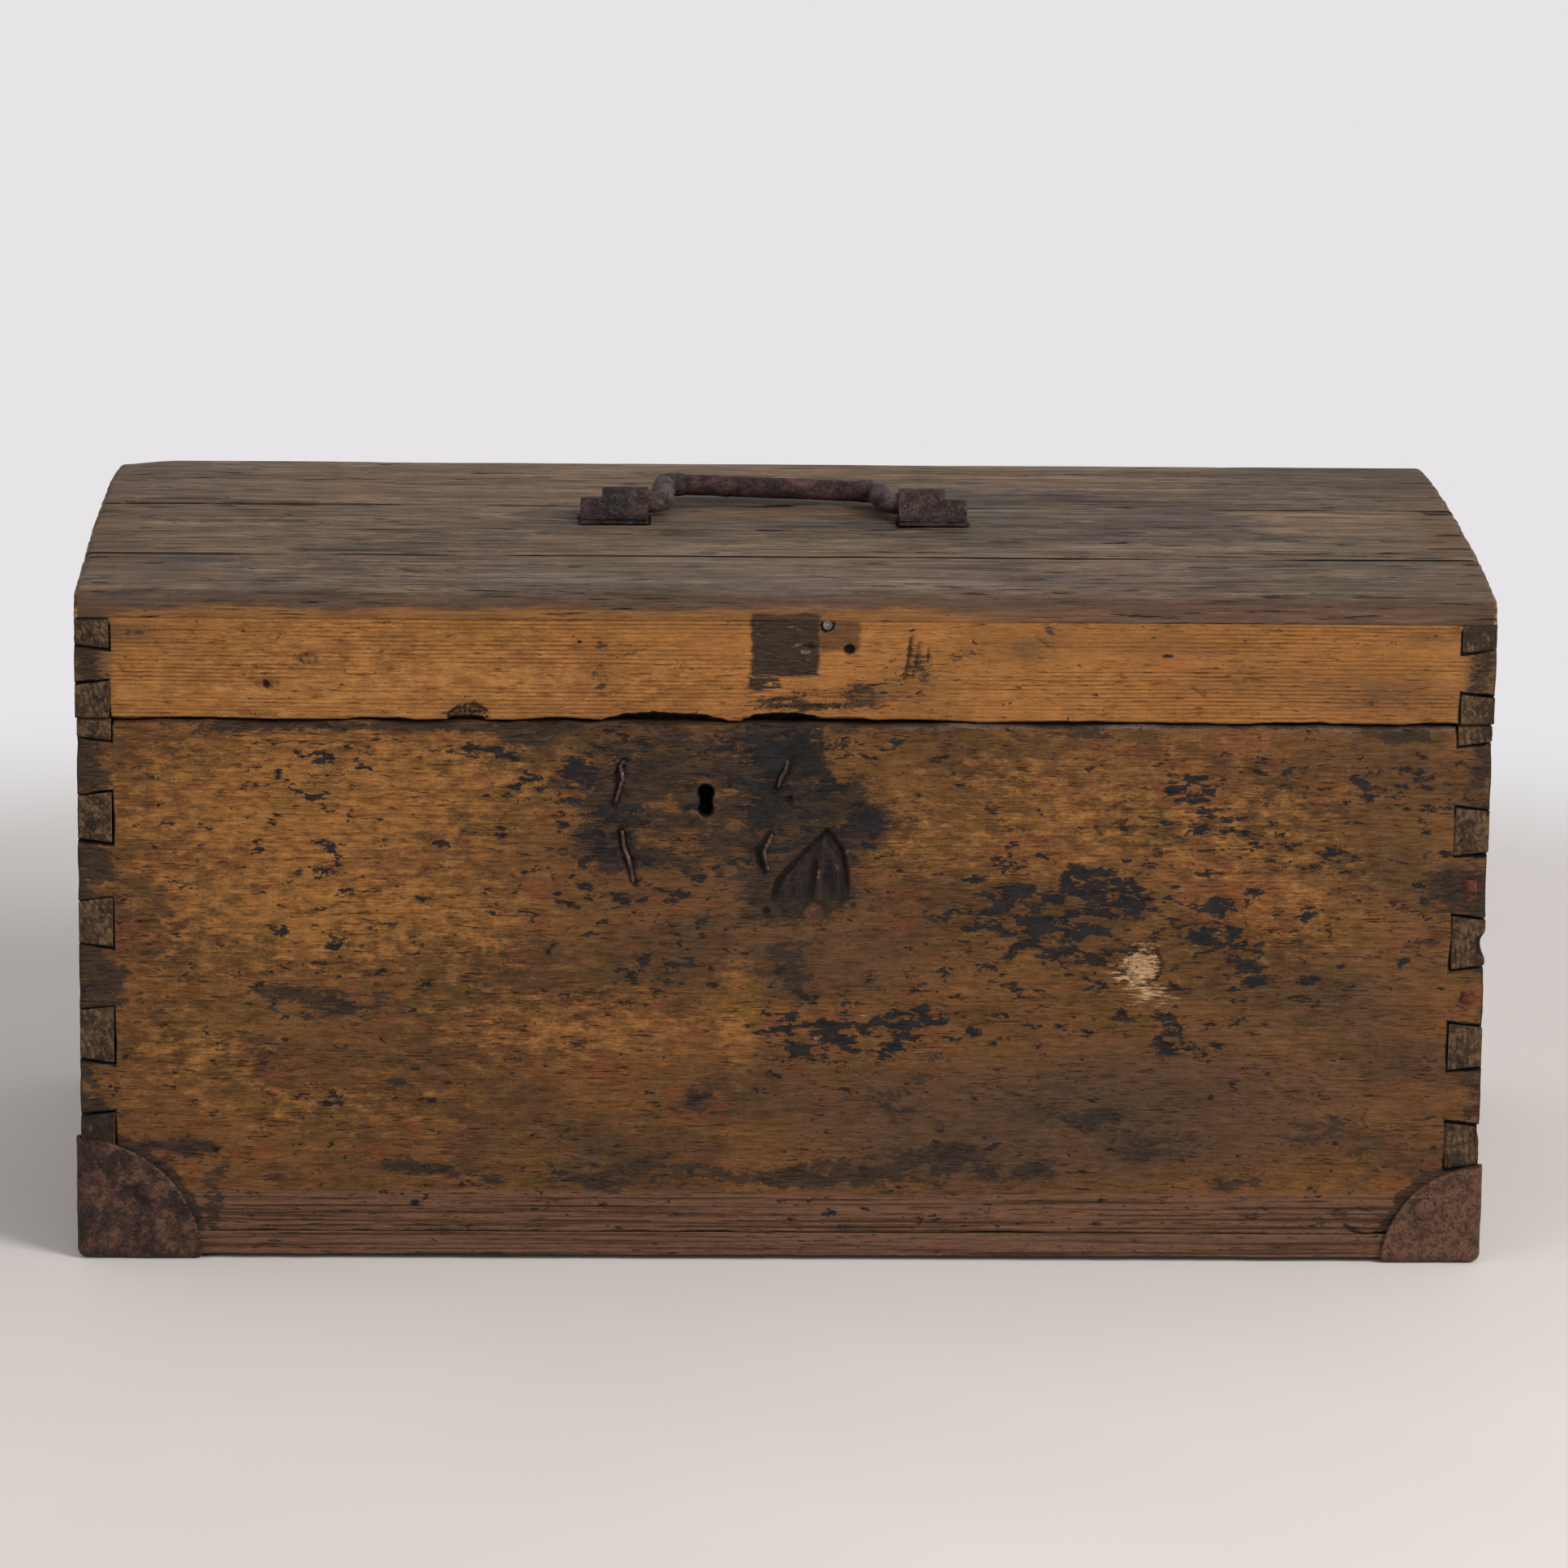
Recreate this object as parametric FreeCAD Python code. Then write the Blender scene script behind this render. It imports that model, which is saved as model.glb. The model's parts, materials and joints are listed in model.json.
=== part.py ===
import FreeCAD, Part
import math
import os

V = FreeCAD.Vector

# A small dovetailed pine chest. The box was joined in one piece and then sawn
# into a body and a lid. The lid has a shallow arch of planks and a bail handle,
# and sheet iron corners guard the foot of the body. A lock sits inside the front.
# Lengths are millimetres. +X is right and +Y is back, seen from the front, and
# +Z is up. The origin is on the floor, under the middle of the chest's bounds.

# The body
chest_length = 701.0
chest_depth = 350.0
board_thickness = 17.0
bottom_thickness = 12.0
bottom_width_shares = (0.36, 0.34, 0.30)
seam_height = 277.5
seam_gap = 0.4
plank_gap = 0.3

# The lid
lid_wall_height = 50.6
lid_rise = 6.0
lid_proud = 0.8
plank_thickness = 14.0
front_plank_width = 75.0
middle_plank_width = 121.0
nosing_radius = 8.0
worn_end_radius = 5.0

# The dovetails: the end boards carry the pins, the long boards the tails. They were
# laid out by eye, so each pin has its own place, as shares of the wall's height.
left_pin_shares = ((0, 0.03), (0.144, 0.232), (0.335, 0.438), (0.561, 0.651),
                   (0.763, 0.856), (0.962, 1))
right_pin_shares = ((0, 0.03), (0.137, 0.222), (0.330, 0.416), (0.529, 0.629),
                    (0.751, 0.840), (0.964, 1))
left_lid_pin_shares = ((0, 0.364), (0.711, 1))
right_lid_pin_shares = ((0, 0.302), (0.739, 1))
pin_slope_share = 0.11
joint_clearance = 0.1

# The sheet iron corners, larger on the left than on the right
corner_sheet = 2.5
left_corner_reach = 63.0
right_corner_reach = 51.0
corner_bend_share = 2.1
corner_nail_share = 0.565
corner_nail_length = 15.0
dome_radius = 5.5
dome_height = 1.8

# Cut nails: half widths of the square shank, and the heads
shank_half = 1.4
shank_tip_half = 0.5
nail_proud = 0.3
rose_half = 3.2
rose_top_half = 1.2
rose_height = 1.3
bottom_nail_length = 28.0
plank_nail_length = 38.0
joint_nail_length = 34.0
bottom_nail_length_shares = (0.15, 0.38, 0.62, 0.85)
board_nail_shares = (0.3, 0.7)
plank_edge_nail_share = 0.37
rear_plank_nail_share = 0.42

# The two strap hinges on the back
hinge_inset = 120.0
hinge_width = 34.0
hinge_tip_width = 22.0
hinge_body_leaf_length = 66.0
hinge_lid_leaf_length = 41.0
hinge_sheet = 2.2
knuckle_radius = 4.0
knuckle_gap = 0.3
hinge_pin_radius = 2.0
hinge_pin_clearance = 0.05
pin_head_radius = 2.9
pin_head_height = 1.0
hinge_nail_length = 14.0
hinge_nail_shares = (0.25, 0.6, 0.88)

# The bail handle and the two folded straps that hold it
handle_shift = -3.6
handle_setback = 163.0
bail_half_span = 56.2
bail_reach = 40.0
bail_lift_degrees = 2.4
foot_radius = 5.7
foot_length = 20.0
foot_bend_radius = 7.4
elbow_rod_radius = 6.4
elbow_bend_radius = 8.5
collar_length = 3.0
grip_radius = 5.5
bail_play = 0.3
strap_sheet = 2.0
strap_width = 35.0
strap_knuckle_width = 24.0
strap_front = 18.5
strap_flat = 7.0
strap_shoulder = 7.0
strap_side_play = 0.5
strap_layer_gap = 0.3
strap_nail_length = 16.5
strap_nail_width_share = 0.53

# The lock on the inside of the front board
lock_shift = -39.3
lock_plate_width = 94.0
lock_plate_height = 72.0
lock_plate_corner = 5.0
lock_sheet = 2.0
lock_depth = 15.6
selvedge_width = 72.0
lock_nail_shares = ((-0.874, 0.364), (-0.828, 0.869), (0.834, 0.335), (0.647, 0.904))
clinch_length = 9.0
clinch_height = 1.5
clinch_turns = (100.0, 75.0, 20.0, 130.0)
keyhole_drop = 35.4
keyhole_radius = 3.4
keyhole_foot_radius = 3.2
keyhole_waist = 4.6
keyhole_length = 8.6

# The lock's case
case_width = 62.0
case_height = 54.0
case_sheet = 1.2
case_ear = 6.5
case_ear_height = 12.0
key_end_radius = 3.0

# The bolt, its stud and its guide
bolt_drop = 12.0
bolt_height = 8.0
bolt_thickness = 4.0
bolt_from_plate = 4.0
bolt_left = 28.0
bolt_right = 17.5
bolt_throw = 11.0
bolt_play = 0.3
talon_drop = 7.0
talon_depth = 5.0
talon_width = 8.0
talon_wall = 3.5
stud_shift = -12.0
stud_radius = 1.5
stud_shoulder_radius = 2.8
stud_head_height = 1.0
guide_shift = 13.2
guide_width = 3.2
guide_wall = 1.6

# The bolt's spring
spring_sheet = 0.8
spring_foot = 2.8
spring_span = 30.0
spring_low_share = 0.66
spring_lift = 2.2

# The catch on the lid, whose lug drops into the lock
catch_width = 30.0
catch_height = 34.0
catch_sheet = 2.4
catch_lift = 0.2
catch_nail_share = 0.3
catch_nail_height_share = 0.66
catch_nail_length = 13.0
lug_shift = 21.0
lug_thickness = 4.0
lug_width = 9.6
lug_drop = 24.0
lug_play = 1.2
eye_play = 0.8

# A nail left in the lid where an older fastening was pulled off
old_nail_shift = 19.9
old_nail_drop = 1.5
old_nail_radius = 2.3
old_nail_head = 0.9
old_nail_length = 12.0

# One overrun for every cut, and the width within which two places are the same
overrun = 2.0
same_place = 0.01

# Places that follow from the sizes
front_reach = corner_sheet + dome_height
hinge_standoff = knuckle_gap + knuckle_radius
rear_reach = hinge_standoff + knuckle_radius
middle_y = (front_reach - rear_reach) / 2
front_y = middle_y - chest_depth / 2
back_y = middle_y + chest_depth / 2
inner_front_y = front_y + board_thickness
inner_back_y = back_y - board_thickness
board_foot = corner_sheet + bottom_thickness
lid_foot = seam_height + seam_gap
lid_edge = lid_foot + lid_wall_height
lid_length = chest_length + 2 * lid_proud
arch_radius = ((chest_depth / 2) ** 2 + lid_rise ** 2) / (2 * lid_rise)
arch_centre_z = lid_edge + lid_rise - arch_radius
seam_lines = (front_y, front_y + front_plank_width,
              front_y + front_plank_width + middle_plank_width, back_y)
hinge_axis_y = back_y + hinge_standoff
hinge_axis_z = seam_height + seam_gap / 2
handle_y = front_y + handle_setback
strap_radius = foot_radius + bail_play + strap_sheet


def box(low, high):
    """A block between two opposite corners."""
    size = high - low
    return Part.makeBox(size.x, size.y, size.z, low)


def prism(points, sweep):
    """A closed outline of points, carried along a straight sweep."""
    return Part.Face(Part.makePolygon(points + [points[0]])).extrude(sweep)


def rod(radius, start, end):
    """A round bar from one point to another."""
    along = end - start
    return Part.makeCylinder(radius, along.Length, start, along)


def joined(shapes):
    """Several shapes made one solid, with the seams between flat faces taken out."""
    whole = shapes[0]
    for shape in shapes[1:]:
        whole = whole.fuse(shape)
    return whole.removeSplitter()


def mirrored(shape, plane_x):
    """The same shape on the other side of an upright plane across the chest."""
    return shape.mirror(V(plane_x, 0, 0), V(1, 0, 0))


def aimed(shape, place, outward):
    """A nail that was made at the origin with its head up, set where it is driven."""
    turned = shape.copy()
    turned.Placement = FreeCAD.Placement(place, FreeCAD.Rotation(V(0, 0, 1), outward))
    return turned


def square(half, z):
    """A square wire about the upright axis."""
    corners = [V(-half, -half, z), V(half, -half, z), V(half, half, z), V(-half, half, z)]
    return Part.makePolygon(corners + [corners[0]])


def shank(length, tip_half):
    """The square shank of a nail, from the surface down."""
    return Part.makeLoft([square(shank_half, 0), square(tip_half, -length)], True, True)


def sunk_nail(length):
    """A headless cut nail that stands a little above the surface."""
    stub = box(V(-shank_half, -shank_half, 0), V(shank_half, shank_half, nail_proud))
    return joined([shank(length, shank_tip_half), stub])


def rose_nail(length, tip_half=shank_tip_half):
    """A forged nail with a low four-sided head that stands on the surface."""
    head = Part.makeLoft([square(rose_half, 0), square(rose_top_half, rose_height)], True, True)
    return joined([shank(length, tip_half), head])


def dome_nail(length):
    """A nail with a wide round head, a cap cut from a ball."""
    ball_radius = (dome_radius ** 2 + dome_height ** 2) / (2 * dome_height)
    ball = Part.makeSphere(ball_radius, V(0, 0, dome_height - ball_radius))
    above = box(V(-dome_radius, -dome_radius, 0), V(dome_radius, dome_radius, dome_height))
    return joined([shank(length, shank_tip_half), ball.common(above)])


def with_holes(board, nails):
    """A board with the holes that its nails made."""
    return board.cut(Part.makeCompound(nails))


def pin_heights(shares, foot, height):
    """Bottom and top of each pin. A pin at the wall's very edge runs out past it."""
    heights = []
    for low, high in shares:
        bottom = foot + low * height
        top = foot + high * height
        if low == 0:
            bottom -= overrun
        if high == 1:
            top += overrun
        heights.append((bottom, top))
    return heights


def body_pins():
    """The pins of the body's left and right ends."""
    height = seam_height - board_foot
    return [(-1, pin_heights(left_pin_shares, board_foot, height)),
            (1, pin_heights(right_pin_shares, board_foot, height))]


def lid_pins():
    """The pins of the lid's left and right ends, the uppermost rising into the arch."""
    pins = []
    for side, shares in ((-1, left_lid_pin_shares), (1, right_lid_pin_shares)):
        heights = pin_heights(shares, lid_foot, lid_wall_height)
        heights[-1] = (heights[-1][0], heights[-1][1] + lid_rise)
        pins.append((side, heights))
    return pins


def pin(side, length, low, high, near_y, far_y, play):
    """One dovetail pin: its end, seen on the front of the chest, widens inwards."""
    flare = pin_slope_share * board_thickness / 2
    outer = side * length / 2
    inner = side * (length / 2 - board_thickness)
    outline = [V(outer, near_y, low + flare - play), V(outer, near_y, high - flare + play),
               V(inner, near_y, high + flare + play), V(inner, near_y, low - flare - play)]
    return prism(outline, V(0, far_y - near_y, 0))


def tail_board(length, pins, near_y, zone):
    """A long board with a socket at each end for every pin."""
    far_y = near_y + board_thickness
    board = zone.common(box(V(-length / 2, near_y, 0), V(length / 2, far_y, lid_edge * 2)))
    sockets = []
    for side, heights in pins:
        for low, high in heights:
            sockets.append(pin(side, length, low, high, near_y, far_y, joint_clearance))
    return board.cut(Part.makeCompound(sockets))


def pin_board(side, length, heights, zone):
    """An end board that stands between the long boards, with pins through both."""
    edges = sorted((side * length / 2, side * (length / 2 - board_thickness)))
    slab = box(V(edges[0], inner_front_y, 0), V(edges[1], inner_back_y, lid_edge * 2))
    pieces = [slab]
    for low, high in heights:
        pieces.append(pin(side, length, low, high, front_y, inner_front_y, 0))
        pieces.append(pin(side, length, low, high, inner_back_y, back_y, 0))
    return joined(pieces).common(zone).removeSplitter()


def body_zone():
    """The space that the body's four boards fill, before they are jointed."""
    low = V(-chest_length / 2, front_y, board_foot)
    return box(low, V(chest_length / 2, back_y, seam_height))


def arch(y, extra=0):
    """Height of the lid's arch at a distance from front to back."""
    return arch_centre_z + math.sqrt((arch_radius + extra) ** 2 - (y - middle_y) ** 2)


def seat(y):
    """Height of the flat seats under the planks, straight from seam to seam."""
    for near, far in zip(seam_lines, seam_lines[1:]):
        if near <= y <= far:
            share = (y - near) / (far - near)
            return arch(near) + share * (arch(far) - arch(near))
    return lid_edge


def lid_zone():
    """The space that the lid's four walls fill, up to the seats of the planks."""
    start = -lid_length / 2
    outline = [V(start, front_y, lid_foot), V(start, back_y, lid_foot)]
    outline += [V(start, y, seat(y)) for y in reversed(seam_lines)]
    return prism(outline, V(lid_length, 0, 0))


def plank(near, far):
    """A lid plank: flat below, planed to the arch on top."""
    start = -lid_length / 2
    low_near = V(start, near, seat(near))
    low_far = V(start, far, seat(far))
    top_near = V(start, near, arch(near, plank_thickness))
    top_far = V(start, far, arch(far, plank_thickness))
    top_middle = V(start, (near + far) / 2, arch((near + far) / 2, plank_thickness))
    edges = [Part.makeLine(low_near, low_far), Part.makeLine(low_far, top_far),
             Part.Arc(top_far, top_middle, top_near).toShape(), Part.makeLine(top_near, low_near)]
    return Part.Face(Part.Wire(edges)).extrude(V(lid_length, 0, 0))


def nosed(board, y):
    """A plank with its long outer top edge rounded."""
    z = arch(y, plank_thickness)
    edges = [edge for edge in board.Edges
             if abs(edge.CenterOfMass.y - y) < same_place
             and abs(edge.CenterOfMass.z - z) < same_place]
    return board.makeFillet(nosing_radius, edges)


def worn(board):
    """A plank with the top edge of each end rounded by wear."""
    edges = []
    for edge in board.Edges:
        box_of_edge = edge.BoundBox
        across = box_of_edge.XLength < same_place
        if across and box_of_edge.ZMin > lid_edge + lid_rise + plank_gap:
            edges.append(edge)
    return board.makeFillet(worn_end_radius, edges)


def lid_planks():
    """The three planks of the lid, from the front to the back."""
    ends = []
    for near, far in zip(seam_lines, seam_lines[1:]):
        ends.append([near + plank_gap / 2, far - plank_gap / 2])
    ends[0][0] = front_y
    ends[-1][1] = back_y
    planks = [plank(near, far) for near, far in ends]
    planks[0] = nosed(planks[0], front_y)
    planks[-1] = nosed(planks[-1], back_y)
    return [worn(board) for board in planks]


def bottom_lines():
    """Front and back of each bottom board."""
    lines = []
    near = front_y
    for share in bottom_width_shares:
        far = near + share * chest_depth
        lines.append((near, far))
        near = far
    return lines


def bottom_boards():
    """The bottom boards, which lie under the four walls with their grain along X."""
    boards = []
    for near, far in bottom_lines():
        low = V(-chest_length / 2, max(near + plank_gap / 2, front_y), corner_sheet)
        high = V(chest_length / 2, min(far - plank_gap / 2, back_y), board_foot)
        boards.append(box(low, high))
    boards[0] = joined([boards[0], box(V(-chest_length / 2, front_y, corner_sheet),
                                       V(chest_length / 2, front_y + plank_gap, board_foot))])
    boards[-1] = joined([boards[-1], box(V(-chest_length / 2, back_y - plank_gap, corner_sheet),
                                         V(chest_length / 2, back_y, board_foot))])
    return boards


def bottom_nails():
    """Nails driven up through the bottom boards into the walls, punched quite flush."""
    nail = shank(bottom_nail_length, shank_tip_half)
    places = []
    for near, far in bottom_lines():
        for share in board_nail_shares:
            for side in (-1, 1):
                x = side * (chest_length - board_thickness) / 2
                places.append(V(x, near + share * (far - near), corner_sheet))
    for share in bottom_nail_length_shares:
        x = (share - 0.5) * chest_length
        for y in (front_y + board_thickness / 2, back_y - board_thickness / 2):
            places.append(V(x, y, corner_sheet))
    return [aimed(nail, place, V(0, 0, -1)) for place in places]


def plank_nails():
    """Nails driven down through the planks into the lid's walls."""
    nail = sunk_nail(plank_nail_length)
    places = []
    for near, far in zip(seam_lines, seam_lines[1:]):
        for share in board_nail_shares:
            for side in (-1, 1):
                x = side * (lid_length - board_thickness) / 2
                y = near + share * (far - near)
                places.append(V(x, y, arch(y, plank_thickness)))
    for side in (-1, 1):
        for y, share in ((front_y, plank_edge_nail_share), (back_y, rear_plank_nail_share)):
            inward = math.copysign(board_thickness / 2, middle_y - y)
            y = y + inward
            places.append(V(side * share * lid_length, y, arch(y, plank_thickness)))
    return [aimed(nail, place, V(0, 0, 1)) for place in places]


def joint_nails():
    """Two nails through tails of the right front corner, driven later to tighten it."""
    heights = body_pins()[1][1]
    nail = rose_nail(joint_nail_length)
    nails = []
    for lower, upper in ((heights[3], heights[4]), (heights[2], heights[3])):
        place = V((chest_length - board_thickness) / 2, front_y, (lower[1] + upper[0]) / 2)
        nails.append(aimed(nail, place, V(0, -1, 0)))
    return nails


def placed_at_corner(shape, side, end):
    """A shape made for the corner at the origin, moved to a corner of the chest."""
    moved = shape
    if side > 0:
        moved = moved.mirror(V(0, 0, 0), V(1, 0, 0))
    if end > 0:
        moved = moved.mirror(V(0, 0, 0), V(0, 1, 0))
    moved.translate(V(side * chest_length / 2, back_y if end > 0 else front_y, corner_sheet))
    return moved


def corner_cap(reach):
    """A pressed iron corner: three leaves with round rims and one round-edged bend."""
    outer = V(-corner_sheet, -corner_sheet, -corner_sheet)
    block = box(outer, V(reach, reach, reach))
    edges = [edge for edge in block.Edges
             if any(vertex.Point.distanceToPoint(outer) < same_place for vertex in edge.Vertexes)]
    block = block.makeFillet(corner_bend_share * corner_sheet, edges)
    sheet = block.cut(box(V(0, 0, 0), V(1, 1, 1) * (reach + overrun)))
    return sheet.common(Part.makeSphere(reach, outer))


def corner_nails(reach):
    """The two nails of a corner, one in its front leaf and one in its side leaf."""
    along = corner_nail_share * reach - corner_sheet
    nail = dome_nail(corner_nail_length)
    return [aimed(nail, V(along, -corner_sheet, along), V(0, -1, 0)),
            aimed(nail, V(-corner_sheet, along, along), V(-1, 0, 0))]


def hinge_leaf(length, toward, spans, centre_x):
    """One leaf of a strap hinge, with its share of the rolled knuckles.

    toward is 1 for the leaf above the pin and -1 for the one below it. spans are
    the places along the pin, from the leaf's middle, that this leaf's knuckles fill."""
    near_y = back_y
    far_y = back_y + hinge_sheet
    root = toward * (knuckle_radius + knuckle_gap)
    tip = toward * (length - hinge_tip_width / 2)
    wide = hinge_width / 2
    narrow = hinge_tip_width / 2

    def at(x, z):
        return V(centre_x + x, near_y, hinge_axis_z + z)

    edges = [Part.makeLine(at(-wide, root), at(wide, root)), Part.makeLine(at(wide, root), at(narrow, tip)),
             Part.Arc(at(narrow, tip), at(0, tip + toward * narrow), at(-narrow, tip)).toShape(),
             Part.makeLine(at(-narrow, tip), at(-wide, root))]
    pieces = [Part.Face(Part.Wire(edges)).extrude(V(0, hinge_sheet, 0))]
    for left, right in spans:
        heights = sorted((hinge_axis_z, hinge_axis_z + root + toward * knuckle_gap))
        pieces.append(box(V(centre_x + left, near_y, heights[0]), V(centre_x + right, far_y, heights[1])))
        pieces.append(rod(knuckle_radius, V(centre_x + left, hinge_axis_y, hinge_axis_z),
                          V(centre_x + right, hinge_axis_y, hinge_axis_z)))
    bore = rod(hinge_pin_radius + hinge_pin_clearance,
               V(centre_x - hinge_width, hinge_axis_y, hinge_axis_z),
               V(centre_x + hinge_width, hinge_axis_y, hinge_axis_z))
    return joined(pieces).cut(bore)


def knuckle_spans():
    """Where the three knuckles lie along the pin: two of the body's and one of the lid's."""
    third = (hinge_width - 2 * knuckle_gap) / 3
    outer = [(-hinge_width / 2, third - hinge_width / 2), (hinge_width / 2 - third, hinge_width / 2)]
    return outer, [(-third / 2, third / 2)]


def hinge_pin(centre_x):
    """The wire pin of a hinge, with a peened head at each end."""
    ends = [V(centre_x + side * hinge_width / 2, hinge_axis_y, hinge_axis_z) for side in (-1, 1)]
    head = V(pin_head_height, 0, 0)
    return joined([rod(hinge_pin_radius, ends[0], ends[1]),
                   rod(pin_head_radius, ends[0] - head, ends[0]),
                   rod(pin_head_radius, ends[1], ends[1] + head)])


def leaf_nails(length, toward, centre_x):
    """The nails of one hinge leaf, in a line down its middle."""
    nail = rose_nail(hinge_nail_length)
    root = knuckle_radius + knuckle_gap
    nails = []
    for share in hinge_nail_shares:
        z = hinge_axis_z + toward * (root + share * (length - root - rose_half))
        nails.append(aimed(nail, V(centre_x, back_y + hinge_sheet, z), V(0, 1, 0)))
    return nails


def quarter_bend(start, tangent, pivot, axis, radius):
    """A quarter turn of round bar about a pivot, from a start point."""
    disc = Part.Face(Part.Wire(Part.makeCircle(radius, start, tangent)))
    return disc.revolve(pivot, axis, 90)


def bail():
    """The handle: a round bar bent to a bow, with its feet turned out into the straps."""
    z = handle_axis_z
    leg_x = handle_shift + bail_half_span
    foot_x = leg_x + foot_bend_radius
    grip_y = handle_y + bail_reach
    foot = rod(foot_radius, V(foot_x + foot_length, handle_y, z), V(foot_x, handle_y, z))
    foot_bend = quarter_bend(V(foot_x, handle_y, z), V(-1, 0, 0),
                             V(foot_x, handle_y + foot_bend_radius, z), V(0, 0, -1), foot_radius)
    leg_start = V(leg_x, handle_y + foot_bend_radius, z)
    leg_end = V(leg_x, grip_y - elbow_bend_radius, z)
    leg = Part.makeCone(foot_radius, elbow_rod_radius, (leg_end - leg_start).Length, leg_start, V(0, 1, 0))
    pivot = V(leg_x - elbow_bend_radius, leg_end.y, z)
    elbow = quarter_bend(leg_end, V(0, 1, 0), pivot, V(0, 0, 1), elbow_rod_radius)
    collar_start = V(pivot.x, grip_y, z)
    collar = Part.makeCone(elbow_rod_radius, grip_radius, collar_length, collar_start, V(-1, 0, 0))
    half = [foot, foot_bend, leg, elbow, collar]
    other_half = [mirrored(piece, handle_shift) for piece in half]
    grip_half = collar_start.x - collar_length - handle_shift
    grip = rod(grip_radius, V(handle_shift - grip_half, grip_y, z), V(handle_shift + grip_half, grip_y, z))
    bow = joined(half + [grip] + other_half)
    bow.rotate(V(handle_shift, handle_y, z), V(1, 0, 0), bail_lift_degrees)
    return bow


def touch_point(radius, nose_y, nose_z):
    """Where a line from the nose of a strap touches the top of a round of a radius.

    Measured from the round's centre."""
    distance = math.hypot(nose_y, nose_z)
    turn = math.atan2(nose_z, nose_y) - math.acos(radius / distance)
    return radius * math.cos(turn), radius * math.sin(turn)


def fold_outline(radius, flat_start, nose_y, nose_z, x):
    """The side view of a strip folded round the handle's foot, as one closed face.

    The round lies behind, the flat runs forward along the lid, and a straight slope
    joins the top of the round to the nose."""
    touch_y, touch_z = touch_point(radius, nose_y, nose_z)

    def at(y, z):
        return V(x, handle_y + y, handle_axis_z + z)

    bottom = at(0, -radius)
    front_low = at(flat_start, -radius)
    front_high = at(flat_start, nose_z)
    nose = at(nose_y, nose_z)
    touch = at(touch_y, touch_z)
    corners = [nose, front_high, front_low, bottom]
    edges = [Part.makeLine(touch, nose)]
    for start, end in zip(corners, corners[1:]):
        if start.distanceToPoint(end) > same_place:
            edges.append(Part.makeLine(start, end))
    edges.append(Part.Arc(bottom, at(radius, 0), touch).toShape())
    return Part.Face(Part.Wire(edges))


def handle_strap():
    """The right strap: a strip of sheet folded round the foot and nailed through both layers."""
    start = handle_shift + bail_half_span + foot_bend_radius + strap_side_play
    bore_radius = foot_radius + bail_play
    nose_y = strap_flat - strap_front
    outer = fold_outline(strap_radius, -strap_front, nose_y, 2 * strap_sheet - strap_radius, start)
    inner = fold_outline(bore_radius, nose_y, nose_y, strap_layer_gap - bore_radius, start)
    sweep = V(strap_width, 0, 0)
    strip = outer.extrude(sweep).cut(inner.extrude(sweep))
    layer_z = handle_axis_z - bore_radius
    strip = strip.cut(box(V(start, handle_y - strap_front - overrun, layer_z),
                          V(start + strap_width, handle_y + nose_y, layer_z + strap_layer_gap)))
    knuckle_end = start + strap_knuckle_width
    cut_low = V(knuckle_end, handle_y - strap_shoulder, handle_axis_z - strap_radius - overrun)
    cut_high = V(start + strap_width + overrun, handle_y + strap_radius + overrun,
                 handle_axis_z + strap_radius + overrun)
    return strip.cut(box(cut_low, cut_high))


def strap_nail():
    """The nail of the right strap, through both layers into the plank."""
    start = handle_shift + bail_half_span + foot_bend_radius + strap_side_play
    x = start + strap_nail_width_share * strap_width
    y = handle_y - strap_front + strap_flat / 2
    z = handle_axis_z - strap_radius + 2 * strap_sheet
    return aimed(sunk_nail(strap_nail_length), V(x, y, z), V(0, 0, 1))


def in_lock(x, y, z):
    """A place in the lock, measured from the inner top edge of the front board."""
    return V(lock_shift + x, inner_front_y + y, seam_height + z)


def keyhole(near_y, far_y):
    """The keyhole: a round for the key's stem over a rounded slot for its bit."""
    stem = in_lock(0, near_y, -keyhole_drop)
    through = V(0, far_y - near_y, 0)
    foot = stem - V(0, 0, keyhole_length)
    waist = box(foot - V(keyhole_waist / 2, 0, 0), stem + V(keyhole_waist / 2, through.y, 0))
    return joined([rod(keyhole_radius, stem, stem + through),
                   rod(keyhole_foot_radius, foot, foot + through), waist])


def lug_slot():
    """The slot in the lock's top through which the catch's lug drops."""
    half_x = lug_thickness / 2 + lug_play
    near, far = lug_depths()
    return box(in_lock(lug_shift - half_x, near - lug_play, -lock_sheet - overrun),
               in_lock(lug_shift + half_x, far + lug_play, overrun))


def lug_depths():
    """Front and back of the lug, which is centred on the bolt."""
    middle = lock_sheet + bolt_from_plate + bolt_thickness / 2
    return middle - lug_width / 2, middle + lug_width / 2


def lock_plate():
    """The plate nailed inside the front board, with a folded top edge."""
    half = lock_plate_width / 2
    cut = lock_plate_corner
    outline = [in_lock(-half, 0, 0), in_lock(half, 0, 0), in_lock(half, 0, cut - lock_plate_height),
               in_lock(half - cut, 0, -lock_plate_height), in_lock(cut - half, 0, -lock_plate_height),
               in_lock(-half, 0, cut - lock_plate_height)]
    plate = prism(outline, V(0, lock_sheet, 0))
    top = box(in_lock(-selvedge_width / 2, 0, -lock_sheet), in_lock(selvedge_width / 2, lock_depth, 0))
    return joined([plate, top]).cut(lug_slot()).cut(keyhole(-overrun, lock_sheet + overrun))


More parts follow.
